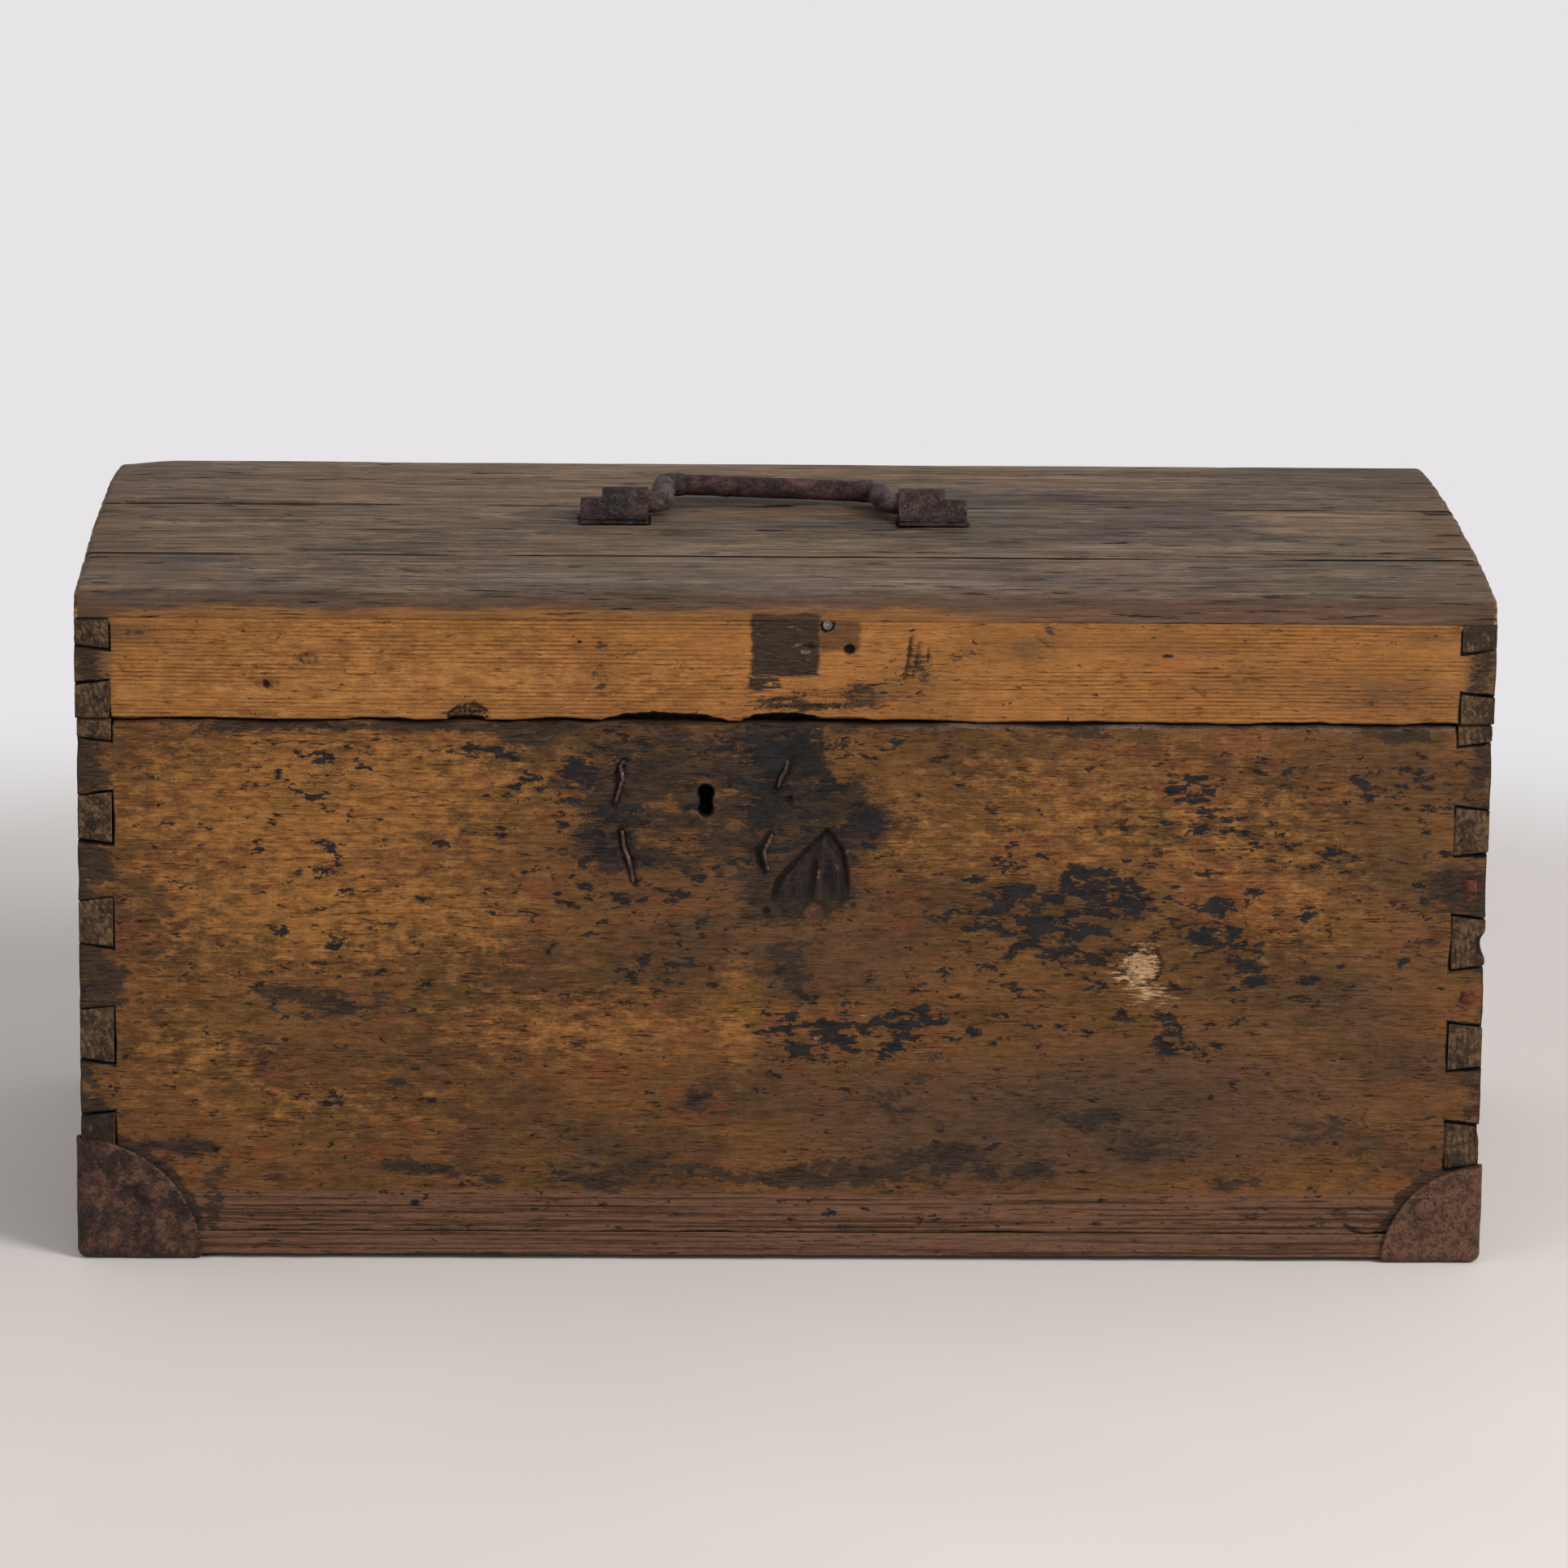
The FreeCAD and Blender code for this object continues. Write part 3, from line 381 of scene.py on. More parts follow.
def slab_rings(on_face, inward, on_back, thickness, radius, wear, chips, quiet, seed):
    """The rings as pairs (plan, depth), and how deep each of their points is chipped.

    Each ring is the outline drawn inwards by wear + radius * (1 - sin t) and sunk by
    radius * (1 - cos t), for t from 0 to a quarter turn. Chips draw it in further, and
    fade out six millimetres down."""
    start = np.column_stack((on_face, np.zeros(len(on_face))))
    drawn = wear * soft_step(rough(start, (14, 14, 14), seed, 4), 0.25, 0.85) * 2
    round_off = radius * (0.6 + 0.9 * rough(start, (30, 30, 30), seed + 9, 2))
    if quiet:
        kept = np.where(on_face[:, 1] > quiet, 0.12, 1.0)
        drawn, round_off = drawn * kept, round_off * kept
    ragged = 0.7 + 0.6 * rough(start, (5, 5, 5), seed + 21, 3)
    chip = np.zeros(len(on_face))
    for u, v, half_u, half_v, depth in chips:
        reach = ((on_face[:, 0] - u) / half_u) ** 2 + ((on_face[:, 1] - v) / half_v) ** 2
        chip = np.maximum(chip, depth * np.clip(1 - reach, 0, 1) ** 0.6 * ragged)
    depths = [(round_off * sink, round_off * draw) for sink, draw in quarter_round]
    depths += [(np.full(len(on_face), depth), np.zeros(len(on_face))) for depth in plain_rings]
    depths += [(thickness - round_off * sink * 0.6, round_off * draw * 0.6)
               for sink, draw in reversed(quarter_round)]
    rings = []
    for sink, draw in depths:
        share = (sink / thickness)[:, None]
        draw = draw + drawn * (1 - 0.6 * share[:, 0]) + chip * (1 - soft_step(sink, 1.0, 6.0))
        rings.append((on_face * (1 - share) + on_back * share + inward * draw[:, None], sink))
    return rings, chip


def slab_faces(sizes, count, grid_size, front_net, back_net):
    """Faces between the rings, over the net of the front and over that of the back."""
    index, following = next_in_ring(sizes)
    around = len(index)
    grid_at = count * around
    inner_at = grid_at + grid_size
    faces = []
    for low in range(0, grid_at, around):
        high = low + around if low + around < grid_at else inner_at
        faces += np.stack((low + index, high + index, high + following, low + following), 1).tolist()
    front_net = np.where(front_net < around, front_net, front_net - around + grid_at)
    return faces + front_net.tolist() + (back_net[:, ::-1] + inner_at).tolist()


# %% Marks of a slab's edges
def edge_marks(points, on_face, loop, sunk, chip, count, quiet, edge_dirt, seed):
    """Numbers for the finish: rim on every ring, end where the wood is cut across, and gap:
    dark in the joints, and painted shade in the mouths that chips leave."""
    near = 0.4
    rest = np.zeros(len(points) - count * len(on_face))
    on_rings = sunk[:count * len(on_face)]
    edge_off = np.minimum(on_face - loop.min(0), loop.max(0) - on_face)
    in_joint = (edge_off.min(1) > near).astype(float)
    beside = np.maximum(np.roll(in_joint, 1), np.roll(in_joint, -1))
    at_end = ((edge_off[:, 0] < near) & (edge_off[:, 1] > 0)).astype(float)
    start = np.column_stack((on_face, np.zeros(len(on_face))))
    dirty = 0.35 + 0.65 * soft_step(rough(start, (16, 16, 9), seed + 33, 2), 0.30, 0.52)
    joint = np.tile(np.maximum(in_joint, beside * 0.9) * dirty, count)
    # Painted shade: the mouths of deep chips are marked to be painted black.
    chip_mouth_shade = np.tile(soft_step(chip, 1.7, 2.6), count) * (1 - soft_step(on_rings, 3.5, 9.0))
    ring_depth = np.repeat([0.7] + [1.0] * (count - 1), len(on_face))
    rim = edge_dirt * np.append(np.ones(len(on_rings)), rest)
    if quiet:
        rim *= points[:, 2] <= quiet
    return {"rim": rim, "gap": np.append(np.maximum(joint, chip_mouth_shade) * ring_depth, rest),
            "end": np.append(np.tile(at_end, count) * (on_rings > 0.3), rest)}


# %% Build a worn slab
def worn_slab(name, node, outward, body, cell, seed, hollow, marks, step=1.6, radius=0.7, wear=0.35,
              chips=(), fine=None, quiet=None, edge_dirt=1.0):
    """A board with worn edges over the solid's own outline.

    hollow gives how far each point of the face sinks, marks gives fields of numbers for
    the finish, and quiet is a height above which the edges stay clean."""
    pairs, height, thickness = paired_loops(node, outward)
    face_loops, back_loops = ([pair[k] for pair in pairs] for k in range(2))
    division = [divided(loop, step) for loop in face_loops]
    on_face, inward = (np.concatenate([part[k] for part in division]) for k in range(2))
    on_back = np.concatenate([redivided(loop, part[2]) for loop, part in zip(back_loops, division)])
    sizes = np.array([len(part[0]) for part in division])
    rings, chip = slab_rings(on_face, inward, on_back, thickness, radius, wear, chips, quiet, seed)
    grid, front_net = net(rings[0][0], sizes, face_loops, cell, radius + wear + 0.7, fine)
    inner = rings[-1][0] + inward * 1.2
    back_grid, back_net = net(inner, sizes, back_loops, (24.0, 24.0), 8.0)
    plan = np.concatenate([ring[0] for ring in rings] + [grid, inner, back_grid])
    flat_back = np.full(len(inner) + len(back_grid), thickness)
    sunk = np.concatenate([ring[1] for ring in rings] + [np.zeros(len(grid)), flat_back])
    across, up, out = face_frame(outward)
    points = plan[:, :1] * across + plan[:, 1:] * up + (height - sunk)[:, None] * out
    sinking = hollow(points) * (1 - soft_step(sunk, 0.5, 6.0))
    points -= sinking[:, None] * out
    values = edge_marks(points, on_face, face_loops[0], sunk, chip, len(rings), quiet, edge_dirt, seed)
    values.update({"depth": np.clip(sunk / thickness, 0, 1), "hollow": sinking})
    values.update({mark: field(points) for mark, field in marks.items()})
    faces = slab_faces(sizes, len(rings), len(grid), front_net, back_net)
    piece(name, points, faces, body, (node,), values)


# %% [markdown]
# ## Where the front is stained, painted and bare
#
# Flecks are left of the front's old dark paint, thickest to the right of the middle. Hands
# and a lock have left it black in the middle, and some knots have lost their skin. The
# finish makes the small ragged shapes by itself. It only has to know how much of each
# there is at each place, so that is written as soft ovals.

# %% Tables of the front
# Dirt on the front, and in the thin rows at z 268 to 275 painted shade under the lid's edge: x, z, half length,
# half height, strength.
grime_and_seam_shade_spots = [
    (-42, 240, 62, 34, 0.75), (-84, 226, 24, 36, 0.8), (0, 255, 24, 22, 0.9), (-8, 214, 26, 20, 0.7),
    (24, 234, 26, 16, 0.75), (48, 227, 18, 7, 0.4), (18, 196, 24, 28, 0.8), (-10, 191, 13, 18, 0.85),
    (5, 182, 11, 8, 0.9), (3, 148, 17, 16, 0.75), (-238, 136, 30, 10, 0.8), (-204, 132, 20, 8, 0.5),
    (-43, 83, 12, 10, 0.75), (-192, 93, 8, 4, 0.8), (152, 74, 38, 9, 0.7), (278, 70, 26, 8, 0.6),
    (226, 43, 22, 9, 0.7), (72, 54, 46, 12, 0.8), (14, 44, 46, 9, 0.8), (-70, 46, 42, 11, 0.8),
    (-150, 44, 44, 8, 0.68), (-196, 50, 30, 6, 0.4), (-250, 44, 26, 6, 0.4), (116, 46, 34, 9, 0.75),
    (60, 84, 22, 14, 0.5), (76, 104, 16, 9, 0.5), (-122, 92, 26, 10, 0.5), (-96, 66, 28, 9, 0.45),
    (190, 58, 34, 9, 0.7), (254, 100, 30, 7, 0.4), (-338, 142, 16, 15, 0.9), (-342, 250, 12, 10, 0.85),
    (-340, 204, 14, 12, 0.8), (-344, 170, 9, 30, 0.6), (-345, 90, 8, 40, 0.55), (332, 196, 18, 14, 0.85),
    (322, 164, 14, 6, 0.6), (344, 240, 8, 34, 0.6), (342, 120, 8, 50, 0.5), (-268, 274, 44, 4, 0.85),
    (-190, 274.5, 60, 3, 0.85), (-112, 274.5, 50, 3, 0.7), (138, 273, 28, 4, 0.8), (306, 272, 24, 4, 0.8),
    (60, 274, 60, 3, 0.5), (-285, 24, 8, 24, 0.85), (-300, 58, 14, 7, 0.7), (286, 20, 26, 14, 0.6),
    (-320, 62, 30, 8, 0.5), (300, 56, 30, 9, 0.45), (-128, 268, 26, 6, 0.5)]
paint_spots = [
    (146, 196, 34, 12, 0.82), (174, 188, 26, 12, 0.78), (128, 170, 30, 16, 0.8), (160, 165, 20, 18, 0.6),
    (204, 245, 22, 12, 0.75), (224, 222, 28, 8, 0.55), (222, 176, 14, 24, 0.75), (206, 170, 14, 18, 0.7),
    (264, 146, 11, 9, 0.85), (199, 113, 16, 7, 0.85), (182, 128, 26, 8, 0.5), (232, 150, 10, 8, 0.7),
    (112, 188, 22, 18, 0.6), (94, 150, 30, 10, 0.5), (104, 128, 30, 9, 0.45), (34, 229, 16, 8, 0.6),
    (-92, 232, 24, 36, 0.75), (0, 258, 20, 18, 1.35), (2, 240, 17, 7, 1.0), (28, 196, 8, 12, 0.6),
    (-122, 244, 20, 7, 0.7), (-150, 262, 22, 5, 0.5), (22, 118, 36, 15, 0.85), (60, 124, 22, 8, 0.7),
    (-58, 156, 28, 8, 0.6), (-66, 136, 20, 6, 0.4), (-170, 214, 22, 5, 0.35), (258, 176, 20, 8, 0.4),
    (262, 212, 20, 8, 0.45), (296, 244, 24, 14, 0.35), (240, 256, 16, 5, 0.5), (-236, 244, 24, 26, 0.4),
    (-182, 262, 30, 6, 0.45), (-4, 232, 40, 24, 0.55), (320, 196, 16, 14, 0.5), (-214, 176, 44, 30, 0.25),
    (-70, 186, 60, 16, 0.35), (316, 252, 20, 10, 0.4), (60, 260, 30, 6, 0.35)]
bare_spots = [
    (179, 153, 11, 15, 1.0), (186, 137, 18, 6, 0.6), (166, 150, 7, 8, 0.5), (24, 116, 30, 3, 0.55),
    (44, 127, 14, 3, 0.55), (0, 126, 12, 3, 0.5), (14, 88, 8, 6, 0.45), (-4, 110, 8, 4, 0.35),
    (-146, 124, 34, 2, 0.35), (-178, 104, 16, 6, 0.35), (-96, 108, 20, 4, 0.3)]
sunny_spots = [
    (230, 246, 100, 30, 0.3), (110, 250, 70, 20, 0.25), (-200, 250, 120, 26, 0.35),
    (-236, 232, 96, 40, 0.75), (-250, 176, 70, 30, 0.65), (-22, 128, 10, 34, 0.75),
    (-110, 122, 80, 22, 0.5), (160, 226, 70, 26, 0.35), (250, 186, 60, 40, 0.4), (256, 108, 44, 24, 0.4),
    (70, 214, 40, 20, 0.4), (-160, 176, 60, 24, 0.45), (-290, 112, 40, 26, 0.5), (-230, 78, 80, 18, 0.4),
    (280, 76, 40, 12, 0.35)]
dull_spots = [
    (190, 80, 120, 36, 1.0), (60, 70, 60, 30, 0.7), (120, 58, 60, 18, 0.6), (200, 250, 70, 16, 0.3),
    (310, 230, 30, 30, 0.4), (0, 100, 40, 20, 0.45), (250, 130, 60, 22, 0.4), (-100, 60, 80, 20, 0.4),
    (-20, 190, 60, 44, 0.5), (310, 160, 40, 60, 0.35), (-300, 60, 50, 20, 0.4), (50, 160, 60, 20, 0.5),
    (-240, 130, 60, 16, 0.35), (300, 262, 50, 12, 0.35), (-120, 200, 40, 60, 0.3)]
print(len(grime_and_seam_shade_spots), "dirty,", len(paint_spots), "painted,", len(bare_spots), "bare places")


def by_spots(table):
    """A field over the front that rises in the soft ovals of a table."""
    return lambda points: spots(points[:, 0], points[:, 2], table)


# %% [markdown]
# ## Raised grain
#
# Pine has soft and hard stripes. Washing and handling take more from the soft wood, so
# the hard lines end up a tenth or two of a millimetre higher. The hollow of a point is
# therefore a row of long thin hills along the grain. It never stands out of the solid,
# it only goes in.


# %% Hollows between the hard lines
def stripes(points, grain, seed, wide=2.2):
    """Long thin hills along the grain's axis, from 0 to 1, slightly wavy."""
    size = np.full(3, wide)
    size[grain] = 90
    slow = np.array([60.0, 60, 60])
    slow[grain] = 260
    bent = points + 7 * (rough(points, slow, seed + 40, 2)[:, None] - 0.5)
    return 0.65 * hills(bent / size, seed) + 0.35 * hills(bent / (size * 0.45), seed + 5)


def knot_mark(points, x, z, half_x, half_z):
    """1 on a knot's rim and 0 away from it: a thin oval ring."""
    reach = np.sqrt(((points[:, 0] - x) / half_x) ** 2 + ((points[:, 2] - z) / half_z) ** 2)
    return bell(reach, 1, 0.22)


def eye(points, x, z, half_x, half_z):
    """1 in the middle of an oval, such as a knot's eye or a hole, and 0 outside."""
    return np.exp(-(((points[:, 0] - x) / half_x) ** 2 + ((points[:, 2] - z) / half_z) ** 2) ** 2)


def knots_and_holes(points, knots, holes):
    """Hollows round knots (x, z, half x, half z, depth) and in holes (x, z, size, depth)."""
    return (sum(depth * knot_mark(points, *knot) for *knot, depth in knots)
            + sum(depth * eye(points, x, z, size, size) for x, z, size, depth in holes))


def beside_line(flat, ends, width):
    """A bell curve of the distance from points (x, z) to a short line."""
    start, along = np.array(ends[:2]), np.array((ends[2] - ends[0], ends[3] - ends[1]))
    share = np.clip((flat - start) @ along / (along @ along), 0, 1)
    away = np.sum((flat - start - share[:, None] * along) ** 2, axis=1)
    return np.exp(-away / width ** 2)


def cuts(points, table):
    """Grooves along short lines: x, z, x, z, half width, depth."""
    sink = np.zeros(len(points))
    for *ends, width, depth in table:
        sink = np.maximum(sink, depth * beside_line(points[:, (0, 2)], ends, width))
    return sink


# %% Cuts and the torn place in the front
front_cuts = [
    (-80, 258, -83, 250, 2.4, 1.5), (-82, 250, -85.5, 235, 2.0, 1.3), (-85, 247, -79, 240, 1.4, 1.0),
    (3.5, 259, -5.5, 242, 2.2, 1.4), (-21, 257.5, 6, 257.5, 0.8, 0.8), (-81.5, 222, -78, 207, 2.2, 1.5),
    (-78, 207, -74, 194, 2.0, 1.3), (-7, 221, -13.5, 212, 2.0, 1.4), (-13.5, 212, -10, 201, 2.4, 1.6),
    (-320, 113, -300, 111, 1.0, 0.9), (-90, 130, -60, 131.5, 0.8, 0.8), (-142, 121, -100, 126, 0.8, 0.9),
    (-215, 117, -175, 114, 0.9, 0.8), (60, 129, 110, 127, 0.7, 0.9), (-330, 176, -290, 172, 0.8, 0.8),
    (-60, 108, -20, 110, 0.8, 0.8), (100, 236, 104, 234, 1.4, 1.2), (154, 226, 157, 222, 2.0, 1.0),
    (-160, 90, -138, 80, 0.9, 0.6), (284, 19, 296, 13, 1.6, 1.3)]
scar_outline = np.array([
    (21.4, 224.5), (10.6, 214.2), (5.4, 208), (-0.2, 203), (-5.4, 196), (-7.4, 189), (-6, 180), (6, 175),
    (22, 176), (33, 186), (32.6, 195), (31.9, 206), (29.2, 213), (26, 217.5)])
# The lines give the scar its relief and its painted light: a painted highlight on a raised ridge (+), painted
# shade in a cut (-).
scar_lines = [  # x, z to x, z, half width, lighter (+) and raised, or darker (-) and cut
    (21, 223, 10.6, 213, 1.3, -1.0), (10.6, 213, -4, 196, 1.5, -1.0), (-4, 196, -6, 187, 1.6, -0.8),
    (23, 221.5, 28.6, 212.5, 1.0, -0.9), (28.6, 212.5, 31.4, 194, 1.0, -0.8),
    (15.2, 206, 13, 188, 1.0, -1.1), (18.4, 218, 27.6, 203, 1.1, 0.36), (17.8, 207, 18.0, 188, 0.8, 0.30),
    (16.9, 202, 16.6, 198, 0.6, 1.3), (12, 212, 3.5, 203, 1.6, 0.16), (2.4, 201, 0.6, 189, 1.1, 0.20),
    (8, 204, 8.6, 190, 1.0, 0.10), (25.2, 204.4, 25.6, 202.4, 1.1, 0.7), (21.5, 199, 27, 186, 2.4, -0.3)]


def wander(points, amount, seed):
    """Points shifted sideways by small random hills, so that drawn lines waver."""
    return points + amount * (np.stack([rough(points, (9, 9, 9), seed + k, 2) for k in range(3)], 1) - 0.5)


def scar(points):
    """The torn place below the keyhole: 1 inside its outline, 0 outside and at its foot."""
    flat = wander(points, 2.4, 24)[:, (0, 2)]
    within = inside(flat, [scar_outline]) * np.clip(distance_to(flat, [scar_outline]) / 0.9, 0, 1)
    return within * soft_step(flat[:, 1], 180, 192)


def scar_relief_and_painted_light(points):
    """Relief and painted light and shade in the scar: every line adds its strength times a
    bell curve of the distance to it, and hills that fan out from the scar's top are added
    over that. The sum sets how deep the scar sinks, and its tone: painted shade in the
    cuts, painted highlight on the ridges and a painted glint on the splinter."""
    flat = wander(points, 1.6, 27)[:, (0, 2)]
    fan = np.arctan2(flat[:, 0] - 20.9, 236 - flat[:, 1])
    relief = 0.34 * (hills(np.column_stack((fan * 26, flat[:, 1] / 26, fan * 0)), 29) - 0.5)
    for *ends, width, strength in scar_lines:
        relief += strength * beside_line(flat, ends, width)
    return relief


# %% Hollows and dirt of the front
front_knots = [
    (14.8, 180, 5.7, 5.9, 0.8), (14.8, 180, 3.0, 3.2, 0.5), (180, 155, 8, 11, 0.9), (181, 154, 4, 6, 0.5),
    (306, 13.5, 7, 6, 0.9)]
front_holes = [
    (1.7, 238.5, 2.2, 1.6), (-9, 181.6, 2.0, 1.6), (-283, 57, 1.9, 1.6), (342, 197.5, 2.6, 1.6),
    (342, 137.3, 2.4, 1.6)]


def front_hollow(points):
    """How far the body's front sinks: stripes, the torn scar, knots and old holes."""
    rubbed = 1 - spots(points[:, 0], points[:, 2], [(0, 130, 500, 90, 0.8)])
    sink = 0.3 * stripes(points, 0, 11) + 0.25 * rubbed
    sink += cuts(wander(points, 2.6, 16), front_cuts)
    sink += scar(points) * np.clip(1.1 - 1.3 * scar_relief_and_painted_light(points), 0.1, 3)
    return np.clip(sink + knots_and_holes(points, front_knots, front_holes), 0, 3.2)


cap_reach = {}
for side in ("left", "right"):
    cap_points, _ = solid_arrays("corner_cap_front_" + side)
    on_front = cap_points[cap_points[:, 1] < cap_points[:, 1].min() + 0.01]
    corner_x = cap_points[:, 0][np.argmax(np.abs(cap_points[:, 0]))]
    cap_reach[side] = (corner_x, np.max(np.hypot(on_front[:, 0] - corner_x, on_front[:, 2])))
print("corners on the front:", {side: [round(float(v), 1) for v in pair] for side, pair in cap_reach.items()})


def front_grime_and_seam_shade(points):
    """Dirt and painted shade on the front: dirt in the table's places, at both side edges, at the
    hasp's foot and in a fringe along the round edge of each iron corner; painted shade along
    the top under the lid, with the table's thin rows there."""
    x, z = points[:, 0], points[:, 2]
    uneven = rough(points, (24, 24, 13), 26, 3)
    left = 0.95 * bell(x, -350, 17) * soft_step(uneven, 0.22, 0.55)
    right = 0.8 * bell(x, 350, 13) * soft_step(uneven, 0.3, 0.62)
    # Painted shade: a dark band along the top edge, under the lid.
    top = 0.7 * bell(z, 278, 4.0) * soft_step(rough(points, (40, 40, 40), 28, 3), 0.36, 0.6)
    hasp = 0.9 * soft_step(x, -23, -19) * (1 - soft_step(x, 18, 21)) * soft_step(z, 240, 250)
    fringes = [strength * bell(np.hypot(x - corner_x, z) - reach, 1, 5.0)
               for (corner_x, reach), strength in zip(cap_reach.values(), (1.0, 0.75))]
    return np.maximum.reduce([spots(x, z, grime_and_seam_shade_spots), left, right, top, hasp, *fringes])


test_x = np.linspace(-340, 340, 500)
test_line = np.column_stack((test_x, np.full(500, front_y), np.full(500, 200.0)))
print("deepest hollow on a test line: %.2f mm" % front_hollow(test_line).max())

# %% [markdown]
# ## The body's four boards
#
# The front board is the face of the chest, so it gets the fine net and all its marks.
# The ends and the back are seen from other sides and get grain and wear of their own.

# %% Front board
front_chips = [  # x, z, half length, half height, depth
    (-120, 277.5, 9, 3, 1.6), (132, 277.5, 30, 3, 1.3), (205, 277.5, 18, 3, 0.9), (300, 277.5, 26, 3, 1.2),
    (-250, 277.5, 34, 3, 1.1), (-180, 277.5, 14, 3, 1.4), (-330, 277.5, 10, 3, 1.2), (40, 277.5, 22, 3, 0.8),
    (-60, 277.5, 20, 3, 0.9), (306, 14.5, 14, 3, 1.4), (-262, 14.5, 10, 3, 1.0), (100, 14.5, 20, 3, 0.5)]


def front_knot_wood(points):
    """How much the front's wood is a knot's: two dark knots and a pale one."""
    dark = eye(points, 14.8, 180, 5.4, 5.6) + eye(points, 306, 13.5, 6.5, 5.5)
    return dark + 0.35 * eye(points, 180, 155, 4, 6)


# torn is the scar's tone: painted shade in its cuts and painted highlight on its ridges and splinter.
front_marks = {
    "grime": front_grime_and_seam_shade, "scar": scar, "torn": lambda p: 0.26 + scar_relief_and_painted_light(p), "knot": front_knot_wood,
    "rust": lambda p: eye(p, 342.3, 197.5, 3.4, 3.4) + eye(p, 341.8, 137.3, 3.2, 3.2),
    "dull": by_spots(dull_spots), "paint": by_spots(paint_spots), "bare": by_spots(bare_spots),
    "sunny": by_spots(sunny_spots)}
worn_slab("body_front", "front_board", (0, -1, 0), "carcass", cell=(3.2, 1.2), seed=21,
          hollow=front_hollow, marks=front_marks, fine=(-95, 45, 1.3), step=1.9, wear=0.5, chips=front_chips)


# %% End boards and back
def plain_hollow(grain, seed, depth=0.35):
    """Stripes of raised grain for a board with no marks of its own."""
    return lambda points: depth * stripes(points, grain, seed)


def worn_patches(seed):
    """Large soft patches, where a board has been handled, rubbed or stained."""
    return {"grime": lambda p: soft_step(rough(p, (90, 90, 40), seed, 3), 0.5, 0.75) * 0.8,
            "paint": lambda p: soft_step(rough(p, (120, 120, 70), seed + 3, 2), 0.5, 0.85) * 0.7,
            "bare": lambda p: soft_step(rough(p, (40, 40, 14), seed + 6, 2), 0.74, 0.95) * 0.5,
            "sunny": lambda p: soft_step(rough(p, (160, 160, 80), seed + 8, 2), 0.4, 0.7)}


def with_dirty_pins(marks):
    """The same patches, and dirt on the pins' ends, which show in the front and back."""
    patches = marks["grime"]

    def dirty(points):
        return np.maximum(patches(points), 0.5 * bell(np.abs(points[:, 1] + 2), 175, 6))

    return {**marks, "grime": dirty}


def right_end_hollow(points):
    """The right end's grain, with the bite that its front edge has lost."""
    y, z = points[:, 1], points[:, 2]
    bite = np.exp(-((z - 165.5) / 5.5) ** 4) * (1 - soft_step(y, front_y, front_y + 27))
    small = bell(z, 70, 4) * (1 - soft_step(y, front_y, front_y + 12))
    return 0.35 * stripes(points, 1, 32) + 2.6 * bite + 1.2 * small


for name, node, outward, seed, cell, hollow in (
        ("body_left_end", "left_side_board", (-1, 0, 0), 31, (3.4, 2.0), plain_hollow(1, 31)),
        ("body_right_end", "right_side_board", (1, 0, 0), 32, (3.4, 2.0), right_end_hollow),
        ("body_back", "back_board", (0, 1, 0), 33, (5.0, 2.2), plain_hollow(0, 33))):
    worn_slab(name, node, outward, "carcass", cell=cell, seed=seed, hollow=hollow,
              marks=with_dirty_pins(worn_patches(seed)), radius=0.8, wear=0.4)

# %% [markdown]
# ## The bottom boards
#
# Three boards close the box from below. Only the front one's edge shows, as a thin
# strip under the front board.

# %% Bottom boards
for seed, part in enumerate(("front", "middle", "rear"), 41):
    marks = {**worn_patches(seed), "grime": lambda p: 0.5 * soft_step(p[:, 1], -170, -120),
             "paint": lambda p: np.zeros(len(p))}
    worn_slab("bottom_" + part, "bottom_board_" + part, (0, 0, -1), "carcass", cell=(6.0, 3.0),
              seed=seed, hollow=plain_hollow(0, seed, 0.3), marks=marks, radius=1.0, edge_dirt=0.2)

# %% [markdown]
# ## The lid's walls
#
# The lid's front board hangs just over the seam. Its lower edge has lost long splinters
# in the middle, where a lever or a hasp worked at it, and one small piece further left.
# They leave mouths in the seam, painted black as painted shade.


# %% Walls of the lid
lid_cuts = [
    (-168, 280.2, -163, 284.6, 0.9, 1.8), (-163, 284.6, -155, 286, 0.9, 1.8),
    (-155, 286, -148, 282.6, 0.9, 1.8), (-164, 281.4, -151, 282.4, 0.7, 1.5),
    (-161, 283.6, -153, 284.2, 0.6, 1.3), (-168, 279.4, -147, 279.6, 0.9, 1.6),
    (62, 320, 58, 300, 1.4, 1.3), (66, 318, 62, 301, 1.0, 1.1), (70, 316, 69, 308, 0.8, 1.0),
    (54, 312, 47, 303, 0.7, 0.9), (3, 317, 13, 316, 0.9, 1.1), (-16, 306, 9, 306, 0.7, 0.8),
    (-9, 289, 10, 291, 0.9, 1.2), (-14, 285, 30, 287, 0.9, 1.2), (2, 293, 34, 289, 0.8, 1.1),
    (-316, 322, -292, 322.6, 0.8, 1.0), (-305, 317, -296, 316, 0.7, 0.9), (-330, 305, -327, 301, 1.2, 1.0),
    (122, 322, 132, 314, 0.9, 1.0), (-200, 327, -170, 323, 0.8, 0.9), (-160, 325, -130, 322, 0.8, 0.9),
    (-270, 281, -255, 280, 0.9, 1.1), (-40, 296, -20, 294.6, 0.6, 0.8), (200, 296, 207, 292, 0.8, 0.9),
    (-84, 310, -70, 314, 0.9, 1.0), (-108, 300, -98, 301, 0.9, 0.9), (90, 309, 112, 308.6, 0.5, 0.7)]
lid_knots = [(-230, 308.5, 13, 3.2, 0.8), (-236, 308.5, 4, 2.0, 0.9), (-256.7, 295.5, 5.5, 2.6, 0.9)]
